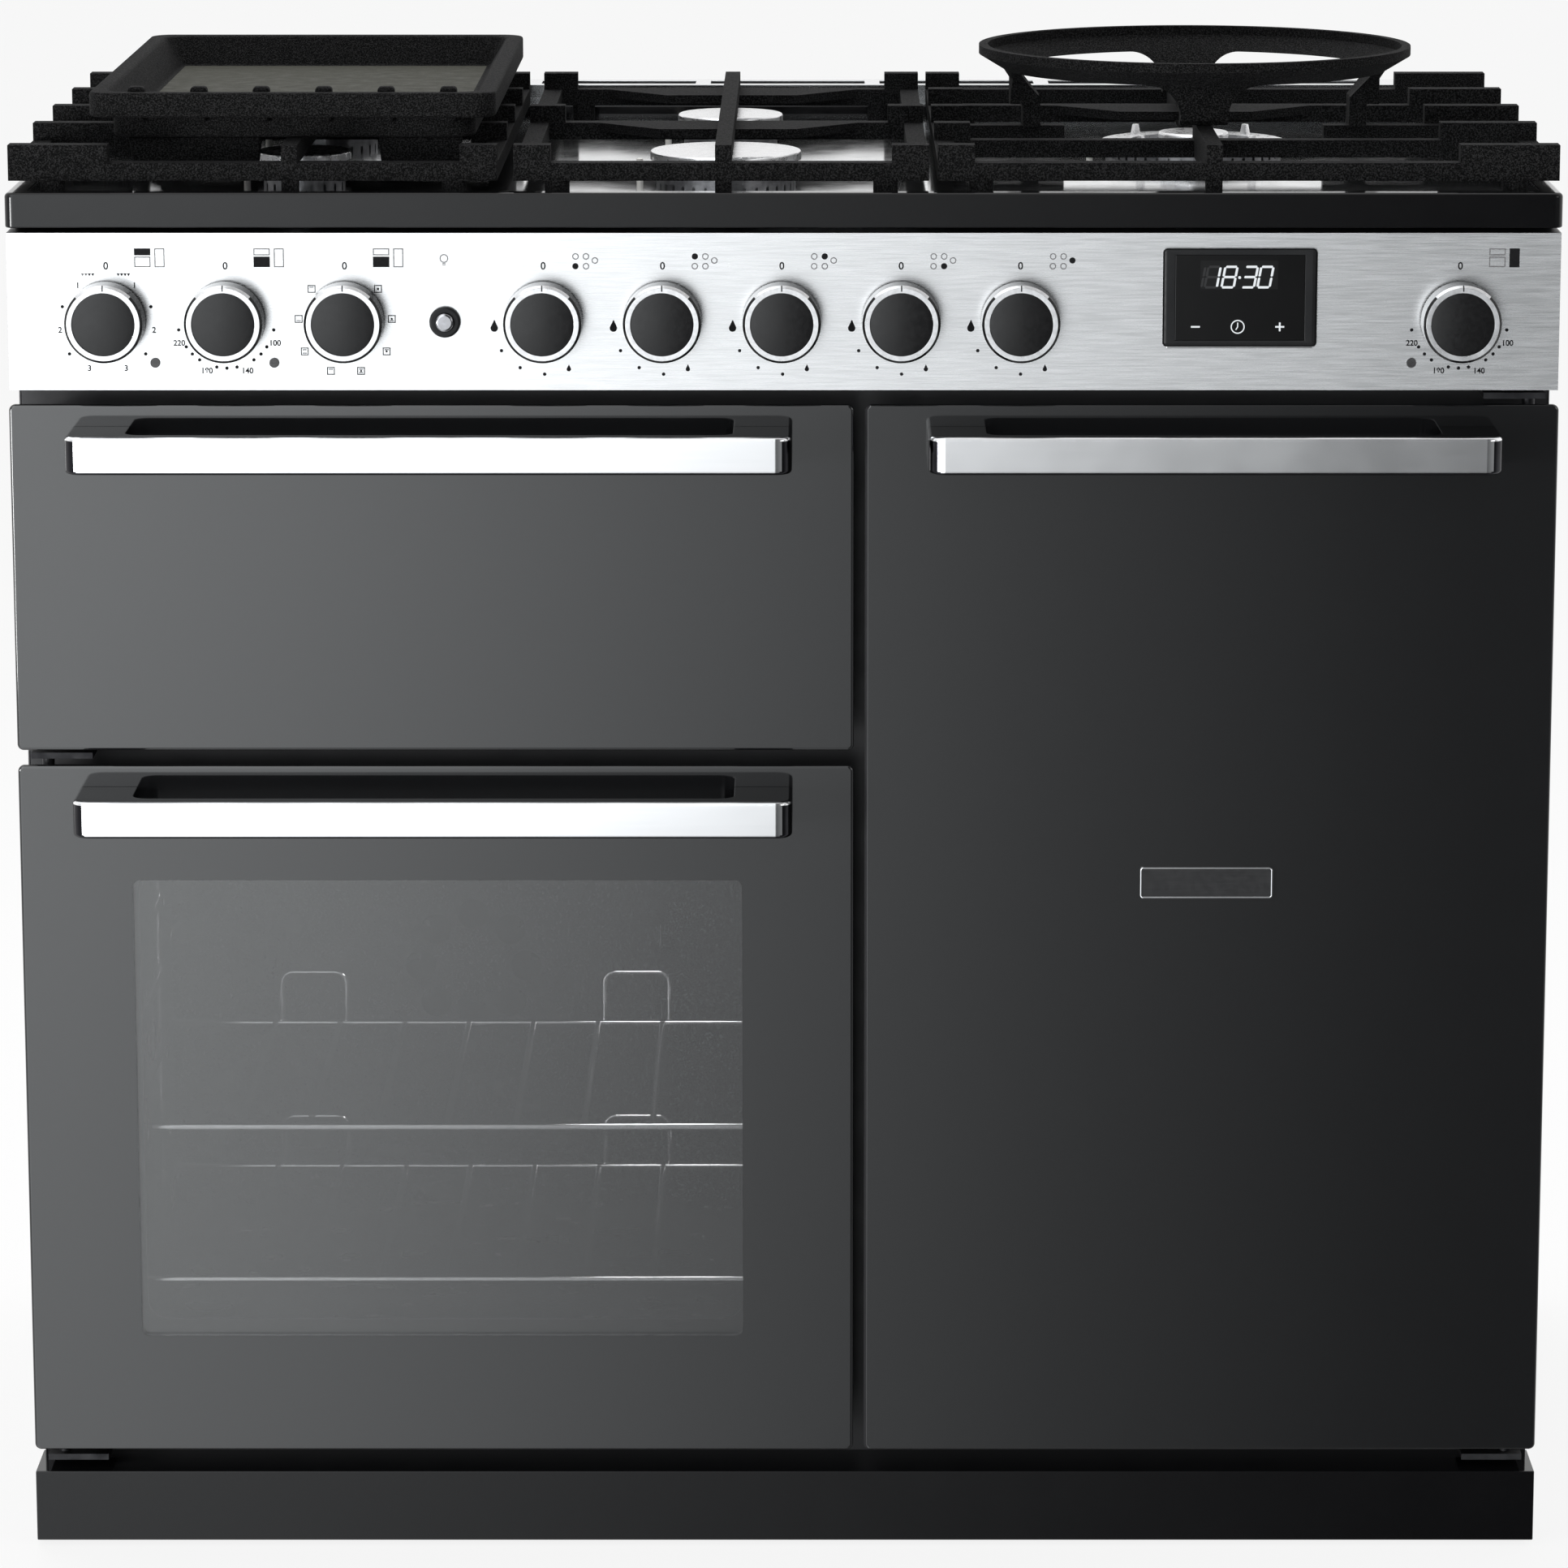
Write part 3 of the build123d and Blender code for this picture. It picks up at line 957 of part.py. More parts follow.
def rack(across, z, pitch):
    """A frame of rod with wires from front to back, and two upright loops welded on at the rear."""
    x0, x1 = across[0] + RACK_ROD_X, across[1] - RACK_ROD_X
    y0, y1 = Y_DOOR + RACK_FRONT, Y_DOOR + RACK_FRONT + RACK_DEPTH
    front, rear = y0 + CROSS_IN, y1 - CROSS_IN
    first = (x0 + x1) / 2 - pitch * (RACK_WIRES - 1) / 2
    wires = [first + i * pitch for i in range(RACK_WIRES)]
    pieces = [rod_y(FRAME_WIRE_R, x, (y0, y1), z) for x in (x0, x1)]
    pieces += [rod_x(CROSS_WIRE_R, (x0, x1), y, z) for y in (front, rear)]
    pieces += [rod_y(WIRE_R, x, (front, rear), z) for x in wires]
    top = z + RACK_LOOP_HEIGHT
    welded = [pieces[0] + pieces[1:]]
    for low in (wires[0] + LOOP_SIDE, wires[-2] + LOOP_SIDE):
        high = low + pitch
        route = [(low, rear, z), (low, rear, top), (high, rear, top), (high, rear, z)]
        welded.append(pipe(route, WIRE_R, LOOP_BEND) - rod_x(CROSS_WIRE_R, (x0, x1), rear, z))
    return welded


def ladder_pair(across, floor, levels):
    return both_sides(lambda side: ladder(across, floor, levels, side))


def rack_set(across, floor, used, pitch):
    levels = [floor + LADDER_BOTTOM + i * LADDER_PITCH for i in used]
    return [piece for z in levels for piece in rack(across, z, pitch)]


save("rack_ladders", *ladder_pair(LEFT_CAVITY, LEFT_LEVELS[0], LADDER_COUNT_LEFT),
     *ladder_pair(RIGHT_CAVITY, RIGHT_LEVELS[0], LADDER_COUNT_RIGHT))
save("oven_racks", *rack_set(LEFT_CAVITY, LEFT_LEVELS[0], RACKS_LEFT, RACK_PITCH_LEFT),
     *rack_set(RIGHT_CAVITY, RIGHT_LEVELS[0], RACKS_RIGHT, RACK_PITCH_RIGHT))

# Grill pan: a tray hung by its rim on two runners, with a wire trivet lying on its front and rear rims
Z_RUNNER = GRILL_LEVELS[0] + RUNNER_UP
runner_y = (Y_CAVITY + RUNNER_FRONT, Y_CAVITY + RUNNER_FRONT + RUNNER_LENGTH)
runners = [
    block((LEFT_CAVITY[0], LEFT_CAVITY[0] + RUNNER_W), runner_y, (Z_RUNNER - RUNNER_T, Z_RUNNER)),
    block((LEFT_CAVITY[1] - RUNNER_W, LEFT_CAVITY[1]), runner_y, (Z_RUNNER - RUNNER_T, Z_RUNNER)),
]
rim_x = (LEFT_CAVITY[0] + PAN_SIDE_GAP, LEFT_CAVITY[1] - PAN_SIDE_GAP)
tray_side = RUNNER_W + PAN_SIDE_GAP
tray_x = (LEFT_CAVITY[0] + tray_side, LEFT_CAVITY[1] - tray_side)
pan_y = (runner_y[0], runner_y[0] + PAN_LENGTH)
tray_y = (pan_y[0] + PAN_RIM, pan_y[1] - PAN_RIM)
grill_pan = block(rim_x, pan_y, (Z_RUNNER, Z_RUNNER + PAN_SHEET))
grill_pan += block(tray_x, tray_y, (Z_RUNNER - PAN_DEPTH, Z_RUNNER + PAN_SHEET))
pan_floor = Z_RUNNER - PAN_DEPTH + PAN_SHEET
grill_pan -= block((tray_x[0] + PAN_SHEET, tray_x[1] - PAN_SHEET),
                   (tray_y[0] + PAN_SHEET, tray_y[1] - PAN_SHEET), (pan_floor, Z_RUNNER + PAST))
trivet_x = (tray_x[0] + PAN_SHEET + TRIVET_CLEAR, tray_x[1] - PAN_SHEET - TRIVET_CLEAR)
trivet_y = (tray_y[0] - TRIVET_LAP, tray_y[1] + TRIVET_LAP)
trivet_z = Z_RUNNER + PAN_SHEET + TRIVET_R
trivet_pitch = (trivet_x[1] - trivet_x[0]) / (TRIVET_WIRES + 1)
trivet_ends = (trivet_y[0] + TRIVET_R, trivet_y[1] - TRIVET_R)
trivet = [
    rod_y(TRIVET_R, trivet_x[0] + i * trivet_pitch, trivet_y, trivet_z)
    for i in range(TRIVET_WIRES + 2)
]
trivet += [rod_x(TRIVET_R, trivet_x, y, trivet_z) for y in trivet_ends]
save("grill_pan", grill_pan, trivet[0] + trivet[1:], *runners)


# Doors: an outer skin, a hollow inner frame and a handle
def skin(x, z):
    plate = block(x, (Y_DOOR, Y_DOOR + DOOR_SKIN), z)
    plate = fillet(plate.edges().filter_by(Axis.Y), DOOR_CORNER_R)
    return fillet(plate.edges().group_by(Axis.Y)[0], DOOR_EDGE_R)


def inner_frame(x, z):
    x = (x[0] + DOOR_INSET, x[1] - DOOR_INSET)
    z = (z[0] + DOOR_INSET, z[1] - DOOR_INSET)
    body = block(x, (Y_DOOR + DOOR_SKIN, Y_DOOR + DOOR_T), z)
    return body - block((x[0] + DOOR_WALL, x[1] - DOOR_WALL), (Y_DOOR, Y_DOOR + DOOR_T - DOOR_BACK),
                        (z[0] + DOOR_WALL, z[1] - DOOR_WALL))


def handle(x, door_top):
    """A bar on two broad legs, its front corners rounded in plan, standing on the skin."""
    x = (x[0] + HANDLE_INSET, x[1] - HANDLE_INSET)
    top = door_top - HANDLE_DROP
    z = (top - HANDLE_HEIGHT, top)
    bar = block(x, (Y_DOOR - HANDLE_REACH, Y_DOOR), z)
    front_corners = bar.edges().filter_by(Axis.Z).group_by(Axis.Y)[0]
    bar = fillet(front_corners, HANDLE_CORNER_R)
    gap_y = (Y_DOOR - HANDLE_REACH + HANDLE_BAR, Y_DOOR + PAST)
    gap = block((x[0] + HANDLE_LEG, x[1] - HANDLE_LEG), gap_y, (z[0] - PAST, z[1] + PAST))
    gap = fillet(gap.edges().filter_by(Axis.Z).group_by(Axis.Y)[0], HANDLE_CORNER_R - HANDLE_EDGE)
    rims = bar.edges().group_by(Axis.Z)
    rims = [edge for edge in rims[0] + rims[-1] if edge.center().Y < Y_DOOR - HANDLE_EDGE]
    return chamfer(rims, HANDLE_EDGE) - gap


def pin_bore(x, door_end, up):
    """The bore for a side hinge's pin in one end of a door's inner frame."""
    start = door_end + up * (DOOR_INSET - PAST)
    end = door_end + up * (DOOR_INSET + PIN_GRIP + PIN_END_GAP)
    return rod_z(PIN_R + RUN_FIT, x, Y_DOOR + HINGE_BACK, sorted((start, end)))


LEFT_DOOR = ((-HALF, LEFT_DOOR_X1), (Z_DOORS, Z_LOWER_TOP))
RIGHT_DOOR = ((RIGHT_DOOR_X0, HALF), (Z_DOORS, Z_DOORS_TOP))
GRILL_DOOR = ((-HALF, LEFT_DOOR_X1), (Z_GRILL, Z_DOORS_TOP))
LEFT_AXIS_X = -HALF + HINGE_IN
RIGHT_AXIS_X = HALF - HINGE_IN
window_x = (LEFT_DOOR[0][0] + WINDOW_SIDE, LEFT_DOOR[0][1] - WINDOW_SIDE)
window_z = (LEFT_DOOR[1][0] + WINDOW_BOTTOM, LEFT_DOOR[1][1] - WINDOW_TOP)
window = block(window_x, (Y_DOOR + DOOR_T - DOOR_BACK - PAST, Y_DOOR + DOOR_T + PAST), window_z)
window = fillet(window.edges().filter_by(Axis.Y), WINDOW_R)
pane_y = (Y_DOOR + DOOR_T - DOOR_BACK - PANE_T, Y_DOOR + DOOR_T - DOOR_BACK)
inner_pane = block((window_x[0] - PANE_LAP, window_x[1] + PANE_LAP), pane_y,
                   (window_z[0] - PANE_LAP, window_z[1] + PANE_LAP))
left_inner = inner_frame(*LEFT_DOOR) - window
left_inner -= [pin_bore(LEFT_AXIS_X, Z_DOORS, 1), pin_bore(LEFT_AXIS_X, Z_LOWER_TOP, -1)]
right_inner = inner_frame(*RIGHT_DOOR)
right_inner -= [pin_bore(RIGHT_AXIS_X, Z_DOORS, 1), pin_bore(RIGHT_AXIS_X, Z_DOORS_TOP, -1)]

# Grill hinge: two arms from the front frame, each with a pin through the door's lower wall
GRILL_AXIS_Y = Y_DOOR + GRILL_HINGE_BACK
GRILL_AXIS_Z = Z_GRILL + GRILL_HINGE_UP
arm_places = (GRILL_DOOR[0][0] + GRILL_ARM_IN, GRILL_DOOR[0][1] - GRILL_ARM_IN)
arm_z = (GRILL_AXIS_Z - GRILL_ARM_HEIGHT / 2, GRILL_AXIS_Z + GRILL_ARM_HEIGHT / 2)
arm_y = (GRILL_AXIS_Y, Y_FRAME)
grill_inner = inner_frame(*GRILL_DOOR)
hinge_arms = []
for x in arm_places:
    half_arm = GRILL_ARM_W / 2
    half_pin = GRILL_PIN_LENGTH / 2
    arm = block((x - half_arm, x + half_arm), arm_y, arm_z)
    hinge_arms.append(arm + rod_x(GRILL_PIN_R, (x - half_pin, x + half_pin), GRILL_AXIS_Y, GRILL_AXIS_Z))
    notch = (x - half_arm - GRILL_ARM_CLEAR, x + half_arm + GRILL_ARM_CLEAR)
    grill_inner -= block(notch, (Y_DOOR, Y_DOOR + DOOR_T + PAST), (Z_GRILL, arm_z[1] + GRILL_ARM_CLEAR))
    bore = (x - half_pin - PIN_END_GAP, x + half_pin + PIN_END_GAP)
    grill_inner -= rod_x(GRILL_PIN_R + RUN_FIT, bore, GRILL_AXIS_Y, GRILL_AXIS_Z)

# Side hinges: a bracket plate in the gap past each door end, with a pin into the door
Y_AXIS = Y_DOOR + HINGE_BACK


def side_hinge(x, inboard, door_end, gap, up):
    """A bracket plate and its pin; up is 1 where the pin points up into the door."""
    middle_z = door_end - up * gap / 2
    plate_z = (middle_z - BRACKET_T / 2, middle_z + BRACKET_T / 2)
    plate_x = sorted((x - inboard * BRACKET_ROUND, x + inboard * BRACKET_REACH))
    plate = block(plate_x, (Y_AXIS - BRACKET_ROUND, Y_FRAME), plate_z)
    start = middle_z + up * BRACKET_T / 2
    pin = rod_z(PIN_R, x, Y_AXIS, sorted((start, door_end + up * (DOOR_INSET + PIN_GRIP))))
    return [plate, pin]


side_hinges = side_hinge(LEFT_AXIS_X, 1, Z_DOORS, PLINTH_GAP, 1)
side_hinges += side_hinge(LEFT_AXIS_X, 1, Z_LOWER_TOP, MID_GAP, -1)
side_hinges += side_hinge(RIGHT_AXIS_X, -1, Z_DOORS, PLINTH_GAP, 1)
side_hinges += side_hinge(RIGHT_AXIS_X, -1, Z_DOORS_TOP, PANEL_GAP, -1)
save("hinge_brackets", *hinge_arms, *side_hinges)
save("grill_door_skin", skin(*GRILL_DOOR))
save("grill_door_frame", grill_inner)
save("grill_door_handle", handle(GRILL_DOOR[0], Z_DOORS_TOP))
save("left_door_glass", skin(*LEFT_DOOR), inner_pane)
save("left_door_frame", left_inner)
save("left_door_handle", handle(LEFT_DOOR[0], Z_LOWER_TOP))
save("right_door_skin", skin(*RIGHT_DOOR))
save("right_door_frame", right_inner)
save("right_door_handle", handle(RIGHT_DOOR[0], Z_DOORS_TOP))
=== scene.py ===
import math
import bmesh
import bpy
from mathutils import Matrix, Vector


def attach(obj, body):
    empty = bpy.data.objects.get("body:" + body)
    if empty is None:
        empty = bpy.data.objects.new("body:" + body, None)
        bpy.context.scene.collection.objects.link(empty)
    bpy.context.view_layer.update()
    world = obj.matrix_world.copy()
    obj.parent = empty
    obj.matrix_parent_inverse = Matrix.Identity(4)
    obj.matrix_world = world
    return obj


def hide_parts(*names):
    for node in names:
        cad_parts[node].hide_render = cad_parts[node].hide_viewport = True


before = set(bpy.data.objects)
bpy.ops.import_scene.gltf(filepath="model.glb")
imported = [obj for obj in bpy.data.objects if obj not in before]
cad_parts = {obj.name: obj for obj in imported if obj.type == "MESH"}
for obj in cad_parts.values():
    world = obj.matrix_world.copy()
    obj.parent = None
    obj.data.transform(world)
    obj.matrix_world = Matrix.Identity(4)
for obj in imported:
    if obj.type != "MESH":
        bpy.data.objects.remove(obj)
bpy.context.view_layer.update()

# Studio: a pale floor and a white surround, brighter on the cook's left than on the right, as soft
# boxes and a dark screen give it. The lens is a long one, a little above the hob and near the middle.
scene = bpy.context.scene
scene.view_settings.view_transform = "Standard"
EYE = (0.02203, -4.4216, 1.37486)
EYE_PITCH = 90 - 11.665                 # degrees from straight down
PHOTO_PX = 1932                         # width and height of the photograph
AXIS_PX = 1008                          # pixel column where the lens points
LENS_PX = 8004.23                       # focal length in pixels
SENSOR_MM = 36.0
lens = bpy.data.cameras.new("lens")
lens.sensor_width = SENSOR_MM
lens.lens = LENS_PX / PHOTO_PX * SENSOR_MM
lens.shift_x = (PHOTO_PX / 2 - AXIS_PX) / PHOTO_PX
lens.clip_end = 60.0
camera = bpy.data.objects.new("camera", lens)
camera.location = EYE
camera.rotation_euler = (math.radians(EYE_PITCH), 0, 0)
scene.collection.objects.link(camera)
scene.camera = camera

# The surround in front of the cooker as mirrors see it: 0 is hard left and 1 hard right
SURROUND = ((0.0, 0.5), (0.12, 0.8), (0.25, 2.8), (0.40, 2.8), (0.43, 2.5), (0.4425, 2.35), (0.463, 1.87),
            (0.475, 1.53), (0.487, 1.19), (0.4996, 0.87), (0.518, 0.48), (0.53, 0.31), (0.542, 0.165),
            (0.552, 0.095), (0.58, 0.08), (0.66, 0.13), (1.0, 0.25))
SURROUND_TINT = (0.97, 1.0, 1.02)
SKY_LEVEL = 0.55                        # light that the surround itself gives
world = bpy.data.worlds.new("studio")
scene.world = world
world.use_nodes = True
sky = world.node_tree.nodes
sky_link = world.node_tree.links.new
sky.clear()
path = sky.new("ShaderNodeLightPath")
place = sky.new("ShaderNodeTexCoord")
split = sky.new("ShaderNodeSeparateXYZ")
sky_link(place.outputs["Generated"], split.inputs[0])


def sky_span(axis, low, high, at_low, at_high):
    """How far a ray goes along an axis, as a level between two values."""
    span = sky.new("ShaderNodeMapRange")
    span.inputs["From Min"].default_value = low
    span.inputs["From Max"].default_value = high
    span.inputs["To Min"].default_value = at_low
    span.inputs["To Max"].default_value = at_high
    sky_link(split.outputs[axis], span.inputs["Value"])
    return span.outputs["Result"]


sky_ramp = sky.new("ShaderNodeValToRGB")
for stop, (at, level) in enumerate(SURROUND):
    step = sky_ramp.color_ramp.elements[stop] if stop < 2 else sky_ramp.color_ramp.elements.new(at)
    step.position = at
    step.color = (*(level * share for share in SURROUND_TINT), 1)
plain = sky.new("ShaderNodeBackground")
plain.inputs["Color"].default_value = (1, 1, 1, 1)
plain.inputs["Strength"].default_value = SKY_LEVEL
white = sky.new("ShaderNodeBackground")
white.inputs["Color"].default_value = (1, 1, 1, 1)
front = sky.new("ShaderNodeBackground")
seen = sky.new("ShaderNodeMath")
seen.operation = "MAXIMUM"
show_white = sky.new("ShaderNodeMixShader")
mirrored = sky.new("ShaderNodeMixShader")
show_mirror = sky.new("ShaderNodeMixShader")
sky_out = sky.new("ShaderNodeOutputWorld")
sky_link(sky_span("X", -1, 1, 0, 1), sky_ramp.inputs["Fac"])
sky_link(sky_ramp.outputs["Color"], front.inputs["Color"])
sky_link(sky_span("Z", -0.32, -0.12, 0.62, 1.0), front.inputs["Strength"])
sky_link(sky_span("Y", -0.4, 0.05, 0, 1), mirrored.inputs[0])
sky_link(front.outputs[0], mirrored.inputs[1])
sky_link(white.outputs[0], mirrored.inputs[2])
sky_link(path.outputs["Is Camera Ray"], seen.inputs[0])
sky_link(path.outputs["Is Transmission Ray"], seen.inputs[1])
sky_link(seen.outputs[0], show_white.inputs[0])
sky_link(plain.outputs[0], show_white.inputs[1])
sky_link(white.outputs[0], show_white.inputs[2])
sky_link(path.outputs["Is Glossy Ray"], show_mirror.inputs[0])
sky_link(show_white.outputs[0], show_mirror.inputs[1])
sky_link(mirrored.outputs[0], show_mirror.inputs[2])
sky_link(show_mirror.outputs[0], sky_out.inputs[0])


def soft_box(name, at, aim, size, power):
    """A square lamp at a place, turned to a point."""
    lamp = bpy.data.lights.new(name, "AREA")
    lamp.size = size
    lamp.energy = power
    box = bpy.data.objects.new(name, lamp)
    box.location = at
    box.rotation_euler = (Vector(aim) - Vector(at)).to_track_quat("-Z", "Y").to_euler()
    scene.collection.objects.link(box)
    return box


soft_box("left_box", (-2.6, -2.6, 0.45), (0, -0.2, 0.6), 0.9, 70)
soft_box("right_box", (2.8, -2.4, 1.8), (0, 0, 0.6), 1.6, 14)
top_box = soft_box("top_box", (-0.3, 0.9, 2.7), (0, 0, 0.9), 1.8, 40)
top_box.visible_glossy = False          # no glare of it in the hob plate
soft_box("oven_lamp", (-0.10, -0.17, 0.476), (-0.20, -0.02, 0.2), 0.12, 0.5)

bpy.ops.object.select_all(action="DESELECT")
FLOOR_SIZE = 30
FLOOR_WHITE = 0.85                      # share of plain white in the floor as the lens sees it
bpy.ops.mesh.primitive_plane_add(size=FLOOR_SIZE)
floor = bpy.context.object
floor.name = "floor"
floor.visible_glossy = False
pale = bpy.data.materials.new("pale_floor")
pale.use_nodes = True
pale_nodes = pale.node_tree.nodes
pale_link = pale.node_tree.links.new
pale_shader = pale_nodes["Principled BSDF"]
pale_shader.inputs["Base Color"].default_value = (0.92, 0.92, 0.92, 1)
pale_shader.inputs["Roughness"].default_value = 0.9
pale_glow = pale_nodes.new("ShaderNodeEmission")
pale_path = pale_nodes.new("ShaderNodeLightPath")
pale_share = pale_nodes.new("ShaderNodeMath")
pale_share.operation = "MULTIPLY"
pale_share.inputs[1].default_value = FLOOR_WHITE
pale_mix = pale_nodes.new("ShaderNodeMixShader")
pale_link(pale_path.outputs["Is Camera Ray"], pale_share.inputs[0])
pale_link(pale_share.outputs[0], pale_mix.inputs[0])
pale_link(pale_shader.outputs[0], pale_mix.inputs[1])
pale_link(pale_glow.outputs[0], pale_mix.inputs[2])
pale_link(pale_mix.outputs[0], pale_nodes["Material Output"].inputs["Surface"])
floor.data.materials.append(pale)


# Casing: two painted side sheets, a galvanised back with hooded louvres and a base tray, folded from
# steel sheet and held along the rear edges by cross-head screws.
def only(*pieces):
    """Make these the selected objects, and the first the active one."""
    bpy.ops.object.select_all(action="DESELECT")
    for piece in pieces:
        piece.select_set(True)
    bpy.context.view_layer.objects.active = pieces[0]


def apply_new(piece, kind, **settings):
    """Add a modifier to a piece and apply it."""
    only(piece)
    made = piece.modifiers.new(kind.lower(), kind)
    for setting, value in settings.items():
        setattr(made, setting, value)
    bpy.ops.object.modifier_apply(modifier=made.name)


def ease(piece, edge, rounds=2):
    """Round the piece's sharp edges by a small bevel and keep its broad faces flat in the light."""
    if edge:
        apply_new(piece, "BEVEL", width=edge, segments=rounds, limit_method="ANGLE",
                  angle_limit=math.radians(35))
    only(piece)
    bpy.ops.object.shade_smooth_by_angle(angle=math.radians(32))
    apply_new(piece, "WEIGHTED_NORMAL", keep_sharp=True)
    return piece


def merged(node):
    """A copy of a CAD node with its triangles joined into whole faces."""
    piece = bpy.data.objects.new(node + "_dressed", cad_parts[node].data.copy())
    scene.collection.objects.link(piece)
    only(piece)
    bpy.ops.object.mode_set(mode="EDIT")
    bpy.ops.mesh.select_all(action="SELECT")
    bpy.ops.mesh.customdata_custom_splitnormals_clear()
    bpy.ops.mesh.remove_doubles(threshold=0.00001)
    bpy.ops.mesh.dissolve_limited(angle_limit=math.radians(1))
    bpy.ops.object.mode_set(mode="OBJECT")
    return piece


def fit(piece, finish, body, slot, *nodes):
    """Give a piece its finish, the body that carries it and the CAD nodes that it stands for."""
    piece.data.materials.clear()
    piece.data.materials.append(finish)
    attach(piece, body)
    if nodes:
        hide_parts(*nodes)
    return piece


def dress(node, finish, body, slot, edge=0.0, rounds=2):
    """Put an eased, finished copy of a CAD node in its place."""
    return fit(ease(merged(node), edge, rounds), finish, body, slot, node)


def started(name):
    """Name the primitive just added and settle its place and turn into its mesh."""
    piece = bpy.context.object
    piece.name = name
    bpy.ops.object.transform_apply(location=True, rotation=True, scale=True)
    return piece


def cube(name, low, high):
    """A block between two corners, as a start."""
    bpy.ops.object.select_all(action="DESELECT")
    middle = [(a + b) / 2 for a, b in zip(low, high)]
    bpy.ops.mesh.primitive_cube_add(size=1, location=middle)
    bpy.context.object.scale = [b - a for a, b in zip(low, high)]
    return started(name)


def rod(name, radius, low_y, high_y, x, z, sides=48):
    """A round bar along the cooker's depth, as a start."""
    bpy.ops.object.select_all(action="DESELECT")
    bpy.ops.mesh.primitive_cylinder_add(vertices=sides, radius=radius, depth=high_y - low_y,
                                        location=(x, (low_y + high_y) / 2, z), rotation=(math.pi / 2, 0, 0))
    return started(name)


def pick(piece, kind, test):
    """Go into edit mode with only the faces or edges selected that pass a test."""
    only(piece)
    bpy.ops.object.mode_set(mode="EDIT")
    bpy.ops.mesh.select_mode(type="FACE" if kind == "faces" else "EDGE")
    bpy.ops.mesh.select_all(action="DESELECT")
    edited = bmesh.from_edit_mesh(piece.data)
    for element in getattr(edited, kind):
        if test(element):
            element.select_set(True)
    bmesh.update_edit_mesh(piece.data)


def done():
    """Leave edit mode."""
    bpy.ops.object.mode_set(mode="OBJECT")


def cut(piece, cutter, operation="DIFFERENCE"):
    """Cut one piece by another and throw the cutter away."""
    apply_new(piece, "BOOLEAN", operation=operation, object=cutter, solver="EXACT")
    bpy.data.objects.remove(cutter)
    return piece


def copied(piece, x=0.0, y=0.0, z=0.0):
    """A copy of a piece with its own mesh, moved."""
    twin = bpy.data.objects.new(piece.name, piece.data.copy())
    twin.data.transform(Matrix.Translation((x, y, z)))
    scene.collection.objects.link(twin)
    return twin


def joined(name, pieces):
    """Several meshes as one piece."""
    only(*pieces)
    bpy.ops.object.join()
    pieces[0].name = name
    return pieces[0]


def finish_of(name, colour, rough, metal=0.0, **constants):
    """A new finish with its plain colour, roughness and other fixed numbers."""
    made = bpy.data.materials.new(name)
    made.use_nodes = True
    shader = made.node_tree.nodes["Principled BSDF"]
    shader.inputs["Base Color"].default_value = (*colour, 1)
    shader.inputs["Roughness"].default_value = rough
    shader.inputs["Metallic"].default_value = metal
    for socket, value in constants.items():
        shader.inputs[socket.replace("_", " ")].default_value = value
    return made


def grain(made, scale, stretch=(1, 1, 1), detail=3.0):
    """Noise on the piece's own coordinates, as a number from 0 to 1."""
    nodes = made.node_tree.nodes
    where = nodes.new("ShaderNodeTexCoord")
    mapped = nodes.new("ShaderNodeMapping")
    noise = nodes.new("ShaderNodeTexNoise")
    mapped.inputs["Scale"].default_value = stretch
    noise.inputs["Scale"].default_value = scale
    noise.inputs["Detail"].default_value = detail
    made.node_tree.links.new(where.outputs["Object"], mapped.inputs["Vector"])
    made.node_tree.links.new(mapped.outputs["Vector"], noise.inputs["Vector"])
    return noise.outputs["Fac"]


def wire(made, output, socket):
    """Feed a node's output into the finish's shader."""
    made.node_tree.links.new(output, made.node_tree.nodes["Principled BSDF"].inputs[socket])


def vary(made, source, socket, low, high):
    """Let a noise drive one number of the shader between two values."""
    span = made.node_tree.nodes.new("ShaderNodeMapRange")
    span.inputs["From Min"].default_value = 0.3
    span.inputs["From Max"].default_value = 0.7
    span.inputs["To Min"].default_value = low
    span.inputs["To Max"].default_value = high
    made.node_tree.links.new(source, span.inputs["Value"])
    wire(made, span.outputs["Result"], socket)


def mottle(made, source, dark, light, low=0.35, high=0.65):
    """Let a noise blend two colours into the base colour."""
    ramp = made.node_tree.nodes.new("ShaderNodeValToRGB")
    ramp.color_ramp.elements[0].position = low
    ramp.color_ramp.elements[1].position = high
    ramp.color_ramp.elements[0].color = (*dark, 1)
    ramp.color_ramp.elements[1].color = (*light, 1)
    made.node_tree.links.new(source, ramp.inputs["Fac"])
    wire(made, ramp.outputs["Color"], "Base Color")


def dimple(made, source, strength, depth):
    """Let a noise raise and sink the surface by a small depth in metres."""
    bump = made.node_tree.nodes.new("ShaderNodeBump")
    bump.inputs["Strength"].default_value = strength
    bump.inputs["Distance"].default_value = depth
    made.node_tree.links.new(source, bump.inputs["Height"])
    wire(made, bump.outputs["Normal"], "Normal")


